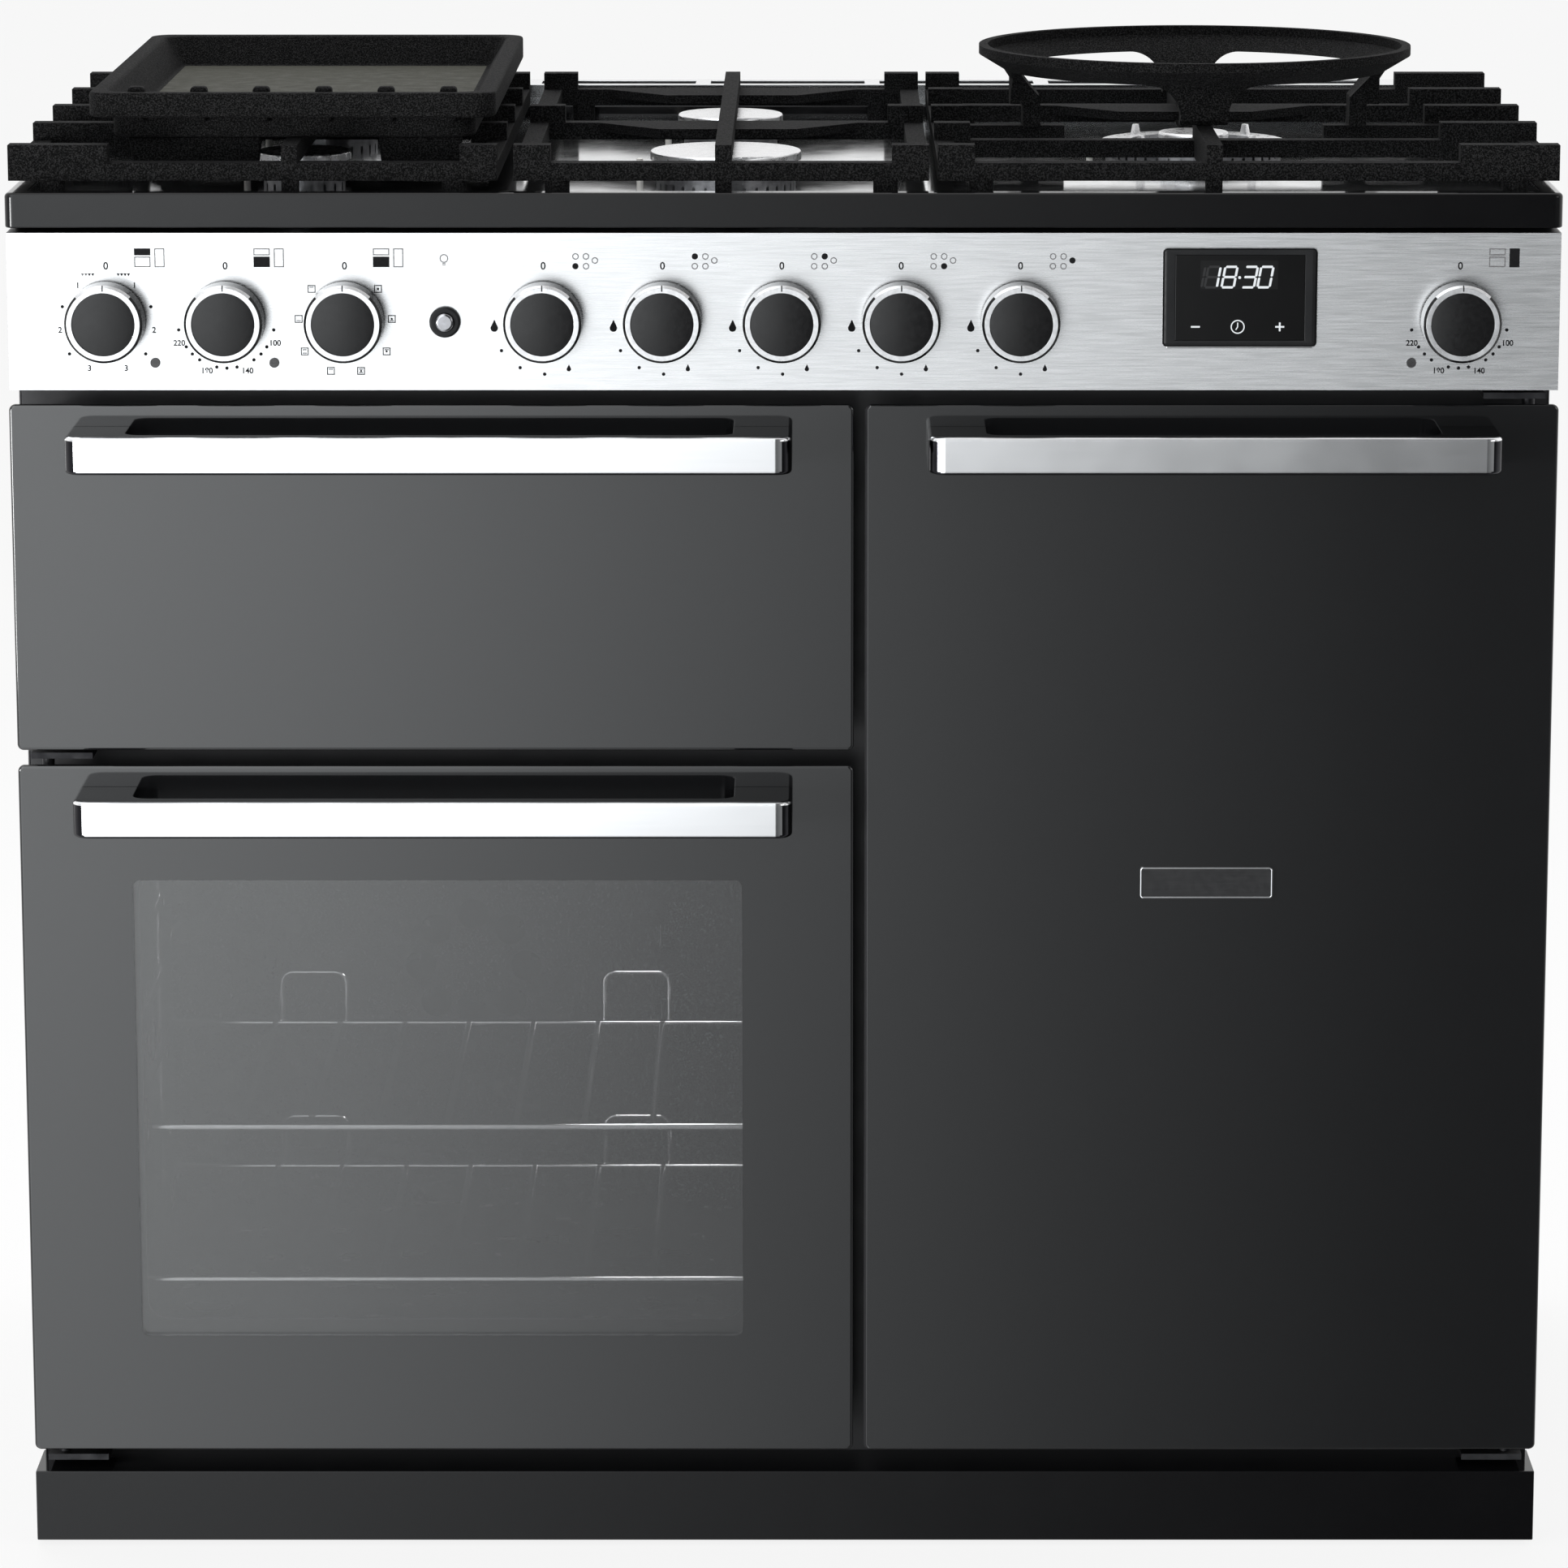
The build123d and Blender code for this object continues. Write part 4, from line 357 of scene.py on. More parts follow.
casing_paint = finish_of("casing_paint", (0.02, 0.02, 0.022), 0.42)
mottle(casing_paint, grain(casing_paint, 6.0), (0.018, 0.018, 0.020), (0.024, 0.024, 0.026))
vary(casing_paint, grain(casing_paint, 40.0), "Roughness", 0.36, 0.48)
dimple(casing_paint, grain(casing_paint, 900.0), 0.15, 0.0003)
zinc_sheet = finish_of("zinc_sheet", (0.5, 0.51, 0.52), 0.42, 0.85)
mottle(zinc_sheet, grain(zinc_sheet, 110.0, detail=2.0), (0.44, 0.45, 0.46), (0.54, 0.55, 0.56))
vary(zinc_sheet, grain(zinc_sheet, 70.0), "Roughness", 0.34, 0.55)
foot_plastic = finish_of("foot_plastic", (0.02, 0.02, 0.021), 0.5)
vary(foot_plastic, grain(foot_plastic, 300.0), "Roughness", 0.42, 0.6)
dress("side_panels", casing_paint, "chassis", "casing_paint", 0.0005)
dress("back_panel", zinc_sheet, "chassis", "zinc_sheet", 0.0003)
dress("base_tray", zinc_sheet, "chassis", "zinc_sheet", 0.0003)
dress("levelling_feet", foot_plastic, "chassis", "foot_plastic", 0.0006)

BACK_Y = 0.3255                         # outer face of the back panel
SCREW_R = 0.0042
SCREW_HEIGHT = 0.0017
SCREW_SUNK = 0.0005
SLOT_W = 0.0011
SLOT_HALF = SCREW_R * 0.62
SIDE_SCREW_X = 0.484
SIDE_SCREW_ZS = (0.075, 0.235, 0.395, 0.555, 0.715, 0.865)
SCREW_PLACES = [(side * SIDE_SCREW_X, z) for side in (-1, 1) for z in SIDE_SCREW_ZS]
SCREW_PLACES += [(x, 0.872) for x in (-0.36, -0.18, 0.0, 0.18, 0.36)]
SCREW_PLACES += [(x, 0.06) for x in (-0.30, 0.0, 0.30)]
screw = rod("back_screws", SCREW_R, BACK_Y - SCREW_SUNK, BACK_Y + SCREW_HEIGHT, 0, 0, 24)
screw_slots = [
    cube("slot", (-across, BACK_Y + SCREW_HEIGHT / 2, -up), (across, BACK_Y + 2 * SCREW_HEIGHT, up))
    for across, up in ((SLOT_HALF, SLOT_W / 2), (SLOT_W / 2, SLOT_HALF))
]
for slot in screw_slots:
    cut(screw, slot)
ease(screw, 0.0003)
screws = [copied(screw, x, 0, z) for x, z in SCREW_PLACES]
bpy.data.objects.remove(screw)
fit(joined("back_screws", screws), zinc_sheet, "chassis", "zinc_sheet")

LOUVRE_HALF = 0.094                     # half the length of a pressed hood
LOUVRE_RISE = 0.0085
LOUVRE_TOP_Z = 0.8225
LOUVRE_PITCH = 0.016
LOUVRE_COUNT = 8
HOOD_OUT = 0.0019                       # hood proud of the back panel
HOOD_FOOT_Y = BACK_Y - 0.0002
HOOD_SLIT_Z = -0.002                    # open lower edge, from the hood's middle
HOOD_SHEET = 0.0006
bpy.ops.object.select_all(action="DESELECT")
bpy.ops.mesh.primitive_uv_sphere_add(segments=32, ring_count=16, radius=1, location=(0, HOOD_FOOT_Y, 0))
bpy.context.object.scale = (LOUVRE_HALF, HOOD_OUT, LOUVRE_RISE)
hood = started("back_louvre_hoods")
for axis, at in ((1, HOOD_FOOT_Y), (2, HOOD_SLIT_Z)):
    pick(hood, "faces", lambda face: True)
    where = [0.0, 0.0, 0.0]
    where[axis] = at
    along = [0.0, 0.0, 0.0]
    along[axis] = 1.0
    bpy.ops.mesh.bisect(plane_co=where, plane_no=along, clear_inner=True)
    done()
apply_new(hood, "SOLIDIFY", thickness=HOOD_SHEET, offset=-1)
ease(hood, 0.0)
hoods = [copied(hood, 0, 0, LOUVRE_TOP_Z - row * LOUVRE_PITCH) for row in range(LOUVRE_COUNT)]
bpy.data.objects.remove(hood)
fit(joined("back_louvre_hoods", hoods), zinc_sheet, "chassis", "zinc_sheet")

# Front frame: a painted steel face with three mouths, seen as dark lines between the doors, with
# soft door seals round the oven mouths and plated hinge brackets bolted to it, their steel darkened
# nearly to black as painted shade in the gaps.
seal_rubber = finish_of("seal_rubber", (0.03, 0.03, 0.032), 0.75)
mottle(seal_rubber, grain(seal_rubber, 300.0), (0.025, 0.025, 0.027), (0.04, 0.04, 0.042))
vary(seal_rubber, grain(seal_rubber, 500.0), "Roughness", 0.65, 0.85)
# Steel darkened nearly to black as painted shade, for parts that sit in shaded gaps and in the ovens.
painted_shade_steel = finish_of("painted_shade_steel", (0.035, 0.035, 0.037), 0.5, 1.0)
mottle(painted_shade_steel, grain(painted_shade_steel, 90.0), (0.025, 0.025, 0.027), (0.045, 0.045, 0.047))
vary(painted_shade_steel, grain(painted_shade_steel, 200.0), "Roughness", 0.42, 0.6)
dress("front_frame", casing_paint, "chassis", "casing_paint", 0.0004)
dress("oven_seals", seal_rubber, "chassis", "seal_rubber", 0.0018, 3)
dress("hinge_brackets", painted_shade_steel, "chassis", "bright_chrome", 0.0004)

# Liners: pressed steel boxes in dark vitreous enamel with pale specks, the enamel darkened further as
# painted shade inside the ovens, with the fan covers, and behind the walls the motors, fans and heating
# elements.
# Enamel colour: partly its own dark tone, partly painted shade that keeps the oven's inside dark.
oven_enamel = finish_of("oven_enamel", (0.007, 0.0075, 0.0085), 0.22, Specular_IOR_Level=0.25)
mottle(oven_enamel, grain(oven_enamel, 700.0, detail=0.0), (0.006, 0.0065, 0.0075), (0.11, 0.115, 0.125),
       0.66, 0.72)
vary(oven_enamel, grain(oven_enamel, 30.0), "Roughness", 0.16, 0.3)
element_steel = finish_of("element_steel", (0.10, 0.085, 0.075), 0.5, 0.6)
mottle(element_steel, grain(element_steel, 60.0), (0.07, 0.062, 0.06), (0.16, 0.12, 0.09))


def paint(node, finish):
    """Give a CAD node that stays in view its finish."""
    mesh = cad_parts[node].data
    mesh.materials.clear()
    mesh.materials.append(finish)


for name in ("grill_liner", "left_oven_liner", "right_oven_liner"):
    dress(name, oven_enamel, "chassis", "oven_enamel")
dress("heating_elements", element_steel, "chassis", "element_steel")
paint("fan_motors", zinc_sheet)
# The fans take the same darkened steel, a painted shade inside the ovens.
paint("left_fan", painted_shade_steel)
paint("right_fan", painted_shade_steel)

# Racks and grill pan: bright wire racks on side ladders in both ovens, and an enamelled pan with a
# wire trivet on two runners under the grill.
wire_chrome = finish_of("wire_chrome", (0.80, 0.80, 0.81), 0.14, 1.0)
vary(wire_chrome, grain(wire_chrome, 150.0), "Roughness", 0.08, 0.2)
dress("oven_racks", wire_chrome, "chassis", "bright_chrome")
dress("rack_ladders", wire_chrome, "chassis", "bright_chrome")
dress("grill_pan", oven_enamel, "chassis", "oven_enamel", 0.0004)

# Gas and mains: brass taps and pipes, moulded switches and a terminal box behind the panel, with
# the inlet and the cable gland at the back.
pipe_brass = finish_of("pipe_brass", (0.62, 0.45, 0.20), 0.32, 1.0)
mottle(pipe_brass, grain(pipe_brass, 45.0), (0.52, 0.37, 0.16), (0.68, 0.50, 0.24))
vary(pipe_brass, grain(pipe_brass, 120.0), "Roughness", 0.25, 0.42)
black_plastic = finish_of("black_plastic", (0.012, 0.0125, 0.0135), 0.38, Specular_IOR_Level=0.2)
mottle(black_plastic, grain(black_plastic, 40.0), (0.010, 0.0105, 0.0115), (0.014, 0.0145, 0.0155))
vary(black_plastic, grain(black_plastic, 250.0), "Roughness", 0.32, 0.46)
dress("gas_pipes", pipe_brass, "chassis", "pipe_brass", 0.0004)
dress("terminal_box", black_plastic, "chassis", "black_plastic", 0.0006)
paint("oven_switches", black_plastic)

# Plinth: a skirt folded from steel sheet, in gloss black enamel a shade darker than the doors. It is
# screwed to the casing from behind, just off the floor.
trim_enamel = finish_of("trim_enamel", (0.004, 0.004, 0.0045), 0.08, IOR=1.38)
mottle(trim_enamel, grain(trim_enamel, 1500.0, detail=1.0), (0.003, 0.003, 0.0035), (0.005, 0.005, 0.0055))
vary(trim_enamel, grain(trim_enamel, 25.0), "Roughness", 0.05, 0.11)
dress("plinth", trim_enamel, "chassis", "slate_enamel", 0.0008)

# Hob: a rim in the plinth's enamel with a sunk plate of bright pressed steel, and a slotted steel vent
# at the back. It is laid on the casing and screwed down from below.
hob_steel = finish_of("hob_steel", (0.72, 0.73, 0.74), 0.16, 1.0)
mottle(hob_steel, grain(hob_steel, 1.0, (14, 1600, 1600)), (0.68, 0.69, 0.70), (0.78, 0.79, 0.80))
vary(hob_steel, grain(hob_steel, 1.0, (14, 1600, 1600)), "Roughness", 0.10, 0.22)
dress("hob_frame", trim_enamel, "chassis", "slate_enamel", 0.0011, 3)
plate_steel = finish_of("plate_steel", (0.72, 0.73, 0.74), 0.05, 1.0)
mottle(plate_steel, grain(plate_steel, 1.0, (14, 900, 900)), (0.70, 0.71, 0.72), (0.74, 0.75, 0.76))
vary(plate_steel, grain(plate_steel, 40.0), "Roughness", 0.08, 0.12)
dress("hob_plate", plate_steel, "chassis", "brushed_steel", 0.0003)
dress("rear_vent", hob_steel, "chassis", "brushed_steel", 0.0004)

# Burners: cast alloy crowns with a ring of ports, darkened in colour as painted shade under the bars
# and the griddle, bright loose caps on them, a ceramic spark probe beside each, and four small posts
# round the wok burner.
# Crown colour kept dark as painted shade: the crowns sit under the bars and the griddle.
burner_alloy = finish_of("burner_alloy", (0.26, 0.26, 0.27), 0.34, 1.0)
mottle(burner_alloy, grain(burner_alloy, 180.0), (0.20, 0.20, 0.21), (0.31, 0.31, 0.32))
vary(burner_alloy, grain(burner_alloy, 600.0), "Roughness", 0.28, 0.45)
cap_alloy = finish_of("cap_alloy", (0.86, 0.86, 0.87), 0.3, 1.0)
mottle(cap_alloy, grain(cap_alloy, 120.0), (0.82, 0.82, 0.83), (0.90, 0.90, 0.91))
vary(cap_alloy, grain(cap_alloy, 250.0), "Roughness", 0.24, 0.36)
ceramic = finish_of("ceramic", (0.82, 0.80, 0.76), 0.3)
mottle(ceramic, grain(ceramic, 400.0), (0.78, 0.76, 0.71), (0.85, 0.83, 0.80))
WOK_AT = (0.277, -0.0095)               # middle of the wok burner
POST_RING = 0.053                       # from that middle to a post
POST_HALF = (0.0035, 0.002)
POST_Z = (0.9100, 0.9180)
POST_TAPER = (0.55, 0.7, 1)
POST_TURNS = (45, 135, 225, 315)
post = cube("wok_burner_posts", (-POST_HALF[0], -POST_HALF[1], POST_Z[0]), (*POST_HALF, POST_Z[1]))
pick(post, "faces", lambda side: side.normal.z > 0.9)
bpy.ops.transform.resize(value=POST_TAPER, center_override=(0, 0, POST_Z[1]))
done()
ease(post, 0.0005)
post.data.transform(Matrix.Translation((0, -POST_RING, 0)))
posts = []
for turn in POST_TURNS:
    posts.append(copied(post))
    posts[-1].data.transform(Matrix.Translation((*WOK_AT, 0)) @ Matrix.Rotation(math.radians(turn), 4, "Z"))
bpy.data.objects.remove(post)
fit(joined("wok_burner_posts", posts), cap_alloy, "chassis", "burner_alloy")
dress("burner_crowns", burner_alloy, "chassis", "burner_alloy", 0.0003)
dress("burner_caps", cap_alloy, "chassis", "burner_alloy")
dress("spark_probes", ceramic, "chassis", "ceramic", 0.0004)

# Pan supports, griddle and wok ring: iron castings in matte black enamel, with a fine sandy grain and
# edges rounded by the mould. The griddle has short ribs inside its front lip, and lugs below that drop
# between the bars of its support, made deep enough to fill the dark under the griddle: partly a casting,
# partly painted shade.
cast_iron = finish_of("cast_iron", (0.005, 0.005, 0.0052), 0.7, Specular_IOR_Level=0.03)
mottle(cast_iron, grain(cast_iron, 1100.0, detail=2.0), (0.004, 0.004, 0.0042), (0.030, 0.030, 0.0305),
       0.44, 0.70)
vary(cast_iron, grain(cast_iron, 800.0), "Roughness", 0.6, 0.8)
dimple(cast_iron, grain(cast_iron, 950.0, detail=2.0), 0.6, 0.0006)
for name in ("pan_support_left", "pan_support_centre", "pan_support_right"):
    dress(name, cast_iron, name, "cast_iron", 0.0026, 3)
GRIDDLE_FLOOR_Z = 0.943
RIB_X0 = -0.42025
RIB_PITCH = 0.0405
RIB_COUNT = 6
RIB_HALF = 0.0055
RIB_Y = (-0.2075, -0.1960)
RIB_TOP_Z = 0.9660
griddle = merged("griddle")
# The floor's lighter olive colour is a painted sheen of light on the up-facing griddle floor.
griddle_floor_sheen = finish_of("griddle_floor_sheen", (0.045, 0.045, 0.038), 0.7, Specular_IOR_Level=0.1)
mottle(griddle_floor_sheen, grain(griddle_floor_sheen, 700.0, detail=2.0), (0.036, 0.036, 0.030), (0.056, 0.056, 0.047))
vary(griddle_floor_sheen, grain(griddle_floor_sheen, 90.0), "Roughness", 0.6, 0.8)
fit(ease(griddle, 0.0018, 3), cast_iron, "griddle", "cast_iron", "griddle")
griddle.data.materials.append(griddle_floor_sheen)
# Up-facing floor faces take the painted sheen.
for side in griddle.data.polygons:
    if side.normal.z > 0.99 and abs(side.center.z - GRIDDLE_FLOOR_Z) < 0.0005:
        side.material_index = 1
rib = cube("griddle_ribs", (-RIB_HALF, RIB_Y[0], GRIDDLE_FLOOR_Z), (RIB_HALF, RIB_Y[1], RIB_TOP_Z))
ease(rib, 0.0026, 4)
ribs = [copied(rib, RIB_X0 + i * RIB_PITCH) for i in range(RIB_COUNT)]
bpy.data.objects.remove(rib)
fit(joined("griddle_ribs", ribs), cast_iron, "griddle", "cast_iron")
GRIDDLE_UNDER_Z = 0.933
# The lugs reach down to fill the dark under the griddle: dark castings standing partly for shade.
LUG_LOW_Z = 0.9125
LUG_Y = (-0.197, -0.187)
LUG_SPANS = ((-0.427, -0.340), (-0.264, -0.2095))
LUG_TAPER = (0.94, 0.7, 1)
lugs = []
for lug_x0, lug_x1 in LUG_SPANS:
    lug = cube("griddle_shade_lugs", (lug_x0, LUG_Y[0], LUG_LOW_Z), (lug_x1, LUG_Y[1], GRIDDLE_UNDER_Z))
    pick(lug, "faces", lambda side: side.normal.z < -0.9)
    lug_foot = ((lug_x0 + lug_x1) / 2, LUG_Y[1], LUG_LOW_Z)
    bpy.ops.transform.resize(value=LUG_TAPER, center_override=lug_foot)
    done()
    lugs.append(ease(lug, 0.002, 3))
fit(joined("griddle_shade_lugs", lugs), cast_iron, "griddle", "cast_iron")
dress("wok_ring", cast_iron, "wok_ring", "cast_iron", 0.0014, 3)

# Control panel: brushed steel, folded back at its edges, streaked from side to side, with its moulded
# timer housing and the ring round the oven light button set into it. The folds, hole walls and back take
# a darker copy of the steel, a painted shade.
PANEL_Y = -0.2775                       # front face of the panel
KNOB_Z = 0.8235                         # height of the row of knobs
TIMER_X = 0.2925
TIMER_Z = 0.8381
TIMER_W = 0.099
TIMER_HEIGHT = 0.0633
TIMER_FRONT = PANEL_Y - 0.003
TIMER_CORNER = 0.0028
panel_steel = finish_of("panel_steel", (0.82, 0.82, 0.83), 0.26, 1.0)
streaks = grain(panel_steel, 1.0, (38, 1, 1300), detail=4.0)
mottle(panel_steel, streaks, (0.76, 0.765, 0.77), (0.88, 0.88, 0.89), 0.3, 0.7)
vary(panel_steel, streaks, "Roughness", 0.24, 0.29)
# Darker copy of the panel steel: a painted shade on the folds, hole walls and back.
panel_fold_shade = finish_of("panel_fold_shade", (0.16, 0.16, 0.165), 0.4, 1.0)
mottle(panel_fold_shade, grain(panel_fold_shade, 60.0), (0.13, 0.13, 0.135), (0.19, 0.19, 0.195))
panel = dress("control_panel", panel_steel, "chassis", "brushed_steel", 0.0010)
panel.data.materials.append(panel_fold_shade)
# Faces not turned to the front take the painted shade.
for side in panel.data.polygons:
    if side.normal.y > -0.95:
        side.material_index = 1
bezels = merged("panel_bezels")


def on_timer_corner(edge):
    """Whether an edge runs along one of the timer housing's outer corners."""
    past_side = [abs(abs(v.co.x - TIMER_X) - TIMER_W / 2) for v in edge.verts]
    past_end = [abs(abs(v.co.z - TIMER_Z) - TIMER_HEIGHT / 2) for v in edge.verts]
    return max(past_side + past_end) < 0.0001


pick(bezels, "edges", on_timer_corner)
bpy.ops.mesh.bevel(offset=TIMER_CORNER, segments=6, affect="EDGES")
done()
fit(ease(bezels, 0.0005), black_plastic, "chassis", "black_plastic", "panel_bezels")
timer_black = finish_of("timer_black", (0.002, 0.002, 0.0022), 0.05)
mottle(timer_black, grain(timer_black, 30.0), (0.0015, 0.0015, 0.0017), (0.0025, 0.0025, 0.0027))
vary(timer_black, grain(timer_black, 80.0), "Roughness", 0.03, 0.07)
dress("timer_glass", timer_black, "chassis", "timer_glass", 0.0003)
bright_chrome = finish_of("bright_chrome", (0.86, 0.86, 0.87), 0.1, 1.0)
vary(bright_chrome, grain(bright_chrome, 60.0), "Roughness", 0.07, 0.13)
# Button chrome darkened as a painted shade for the dark that the dome mirrors.
button_shade_chrome = finish_of("button_shade_chrome", (0.36, 0.36, 0.375), 0.12, 1.0)
mottle(button_shade_chrome, grain(button_shade_chrome, 200.0), (0.33, 0.33, 0.34), (0.39, 0.39, 0.41))
vary(button_shade_chrome, grain(button_shade_chrome, 60.0), "Roughness", 0.09, 0.15)
dress("light_button", button_shade_chrome, "light_button", "bright_chrome")
lamp_lens = finish_of("lamp_lens", (0.05, 0.05, 0.052), 0.25)
mottle(lamp_lens, grain(lamp_lens, 300.0), (0.04, 0.04, 0.042), (0.06, 0.06, 0.062))
vary(lamp_lens, grain(lamp_lens, 500.0), "Roughness", 0.2, 0.3)
dress("indicator_lamps", lamp_lens, "chassis", "lamp_lens", 0.0003)
# A thin bright chrome strip along the housing's lower edge: a painted highlight for light caught on the
# bevel.
GLINT_LOW = TIMER_Z - TIMER_HEIGHT / 2
GLINT_TALL = 0.0009
GLINT_BACK = 0.0003                      # behind the housing's front
GLINT_SUNK = 0.0002
GLINT_HALF = TIMER_W / 2 - TIMER_CORNER
glint_strip = cube("timer_glint_strip", (TIMER_X - GLINT_HALF, TIMER_FRONT + GLINT_BACK, GLINT_LOW - GLINT_TALL),
            (TIMER_X + GLINT_HALF, PANEL_Y + GLINT_SUNK, GLINT_LOW + GLINT_SUNK))
fit(ease(glint_strip, 0.0003), bright_chrome, "chassis", "bright_chrome")

# Panel marks: numbers, dots, flames and little pictures of the ovens and burners, screen printed on
# the steel in black and grey ink a tenth of a millimetre thick.
INK_Y = PANEL_Y - 0.0001
MM = 0.001
OVEN_KNOBS = (-0.4345, -0.358, -0.2815, 0.4337)
GAS_KNOBS = (-0.1542, -0.0777, -0.0012, 0.0753, 0.1518)
black_marks = []
grey_marks = []


def printed(pattern, marks, places):
    """Copies of a flat mark at (across, up) places on the panel."""
    for x, z in places:
        marks.append(copied(pattern, x, 0, z))
    bpy.data.objects.remove(pattern)


def disc(radius, corners=24, y=INK_Y):
    """A flat round mark, or one with a few corners."""
    bpy.ops.object.select_all(action="DESELECT")
    bpy.ops.mesh.primitive_circle_add(vertices=corners, radius=radius, fill_type="NGON", location=(0, y, 0),
                                      rotation=(math.pi / 2, 0, 0))
    return started("mark")


def bar(wide, tall, x=0.0, z=0.0, y=INK_Y):
    """A flat oblong mark."""
    bpy.ops.object.select_all(action="DESELECT")
    bpy.ops.mesh.primitive_plane_add(size=1, location=(x, y, z), rotation=(math.pi / 2, 0, 0))
    bpy.context.object.scale = (wide, tall, 1)
    return started("mark")


def outline(mark, line):
    """Leave only a line round a flat mark's edge."""
    pick(mark, "faces", lambda face: True)
    bpy.ops.mesh.inset(thickness=line)
    bpy.ops.mesh.delete(type="FACE")
    done()
    return mark


STROKE_GAIN = 0.12 * MM                 # ink spread on each side of a stroke


def number(words, tall):
    """Digits as a flat mesh, centred on the origin."""
    bpy.ops.object.select_all(action="DESELECT")
    bpy.ops.object.text_add(location=(0, INK_Y, 0), rotation=(math.pi / 2, 0, 0))
    written = bpy.context.object
    written.data.body = words
    written.data.size = tall / 0.69
    written.data.offset = STROKE_GAIN
    written.data.align_x = "CENTER"
    written.data.align_y = "CENTER"
    bpy.ops.object.convert(target="MESH")
    return started("mark")


def flame(tall):
    """A drop with a drawn-out tip that leans to one side."""
    mark = disc(tall * 0.29, 24)
    mark.data.transform(Matrix.Translation((0, 0, -tall * 0.21)))
    for above, lift, squeeze in ((0.0, 0.10, 0.86), (0.06, 0.24, 0.40)):
        pick(mark, "faces", lambda face: False)
        bpy.ops.mesh.select_mode(type="VERT")
        edited = bmesh.from_edit_mesh(mark.data)
        for point in edited.verts:
            point.select_set(point.co.z > tall * (above - 0.10))
        bmesh.update_edit_mesh(mark.data)
        bpy.ops.transform.resize(value=(squeeze, 1, 1), center_override=(tall * 0.02, INK_Y, 0))
        bpy.ops.transform.translate(value=(0, 0, tall * lift))
        done()
    return mark


def about(knobs, offsets):
    """Places at offsets in millimetres from each knob's axis."""
    return [(x + dx * MM, KNOB_Z + dz * MM) for x in knobs for dx, dz in offsets]


ZERO_TALL = 4.6 * MM
printed(number("0", ZERO_TALL), black_marks, about(OVEN_KNOBS + GAS_KNOBS, [(0, 34.6)]))
OVEN_BOXES = ((10.5, 4.5, 23.55, 43.85), (10.5, 6.8, 23.55, 37.4), (6.5, 12.2, 34.55, 40.0))
BOX_OF_KNOB = (0, 1, 1, 2)              # which of the three ovens each knob serves
BOX_LINE = 0.7 * MM
for knob, served in zip(OVEN_KNOBS, BOX_OF_KNOB):
    for which, (wide, tall, dx, dz) in enumerate(OVEN_BOXES):
        box_mark = bar(wide * MM, tall * MM)
        if which == served:
            printed(box_mark, black_marks, about([knob], [(dx, dz)]))
        else:
            printed(outline(box_mark, BOX_LINE), grey_marks, about([knob], [(dx, dz)]))
BURNER_DOTS = ((20.7, 34.6), (20.8, 40.9), (27.5, 40.9), (27.5, 34.6), (33.2, 38.3))
SERVED_DOT_R = 2.0 * MM
OTHER_DOT_R = 2.1 * MM
ROUND_LINE = 0.65 * MM
for served, knob in enumerate(GAS_KNOBS):
    printed(disc(SERVED_DOT_R), black_marks, about([knob], [BURNER_DOTS[served]]))
    others = [dot for which, dot in enumerate(BURNER_DOTS) if which != served]
    printed(outline(disc(OTHER_DOT_R), ROUND_LINE), grey_marks, about([knob], others))
HIGH_FLAME = 8.2 * MM
LOW_FLAME = 4.8 * MM
STEP_DOT_R = 1.1 * MM
GAS_STEPS = [(-27.2, -19.9), (-15.3, -30.9), (0.4, -35.1)]
printed(flame(HIGH_FLAME), black_marks, about(GAS_KNOBS, [(-31.7, -3.6)]))
printed(flame(LOW_FLAME), black_marks, about(GAS_KNOBS, [(16.0, -30.9)]))
printed(disc(STEP_DOT_R, 16), black_marks, about(GAS_KNOBS, GAS_STEPS))
GRILL = OVEN_KNOBS[:1]
TOOTH_R = 1.25 * MM
TOOTH_UP = 29.4
BLACK_TEETH = [(dx, TOOTH_UP) for dx in (-10.6, -8.4, 7.9, 10.1, 12.3, 14.5)]
GREY_TEETH = [(dx, TOOTH_UP) for dx in (-15.0, -12.8)]
tooth = disc(TOOTH_R, 3)
tooth.data.transform(Matrix.Scale(-1, 4, (0, 0, 1)))
tooth.data.flip_normals()
tooth_pale = copied(tooth)
printed(tooth, black_marks, about(GRILL, BLACK_TEETH))
printed(tooth_pale, grey_marks, about(GRILL, GREY_TEETH))
GRILL_TALL = 3.6 * MM
GRILL_STEPS = [(-28.4, 8.5), (28.4, 8.5), (-24.5, -22.0), (24.5, -22.0)]
for words, dx, dz in (("1", 18.2, 22.1), ("2", 30.2, -6.7), ("3", 11.8, -31.4)):
    printed(number(words, GRILL_TALL), black_marks, about(GRILL, [(-dx, dz), (dx, dz)]))
printed(disc(STEP_DOT_R, 16), black_marks, about(GRILL, GRILL_STEPS))
HEAT_KNOBS = (OVEN_KNOBS[1], OVEN_KNOBS[3])
HEAT_TALL = 3.5 * MM
HEATS = (("220", -30.3, -15.1), ("180", -12.9, -33.0), ("140", 13.2, -33.0), ("100", 31.2, -15.1))
for words, dx, dz in HEATS:
    printed(number(words, HEAT_TALL), black_marks, about(HEAT_KNOBS, [(dx, dz)]))
HEAT_DOT_R = 31.2                       # from the knob's axis to a dot
HEAT_TURNS = (192, 214, 225, 236, 258, 270, 282, 304, 315, 326, 348)
heat_dots = []
for turn in HEAT_TURNS:
    round_by = math.radians(turn)
    heat_dots.append((HEAT_DOT_R * math.cos(round_by), HEAT_DOT_R * math.sin(round_by)))
printed(disc(STEP_DOT_R, 16), black_marks, about(HEAT_KNOBS, heat_dots))
COOKING = OVEN_KNOBS[2:3]
ICON_SIZE = 5.0 * MM
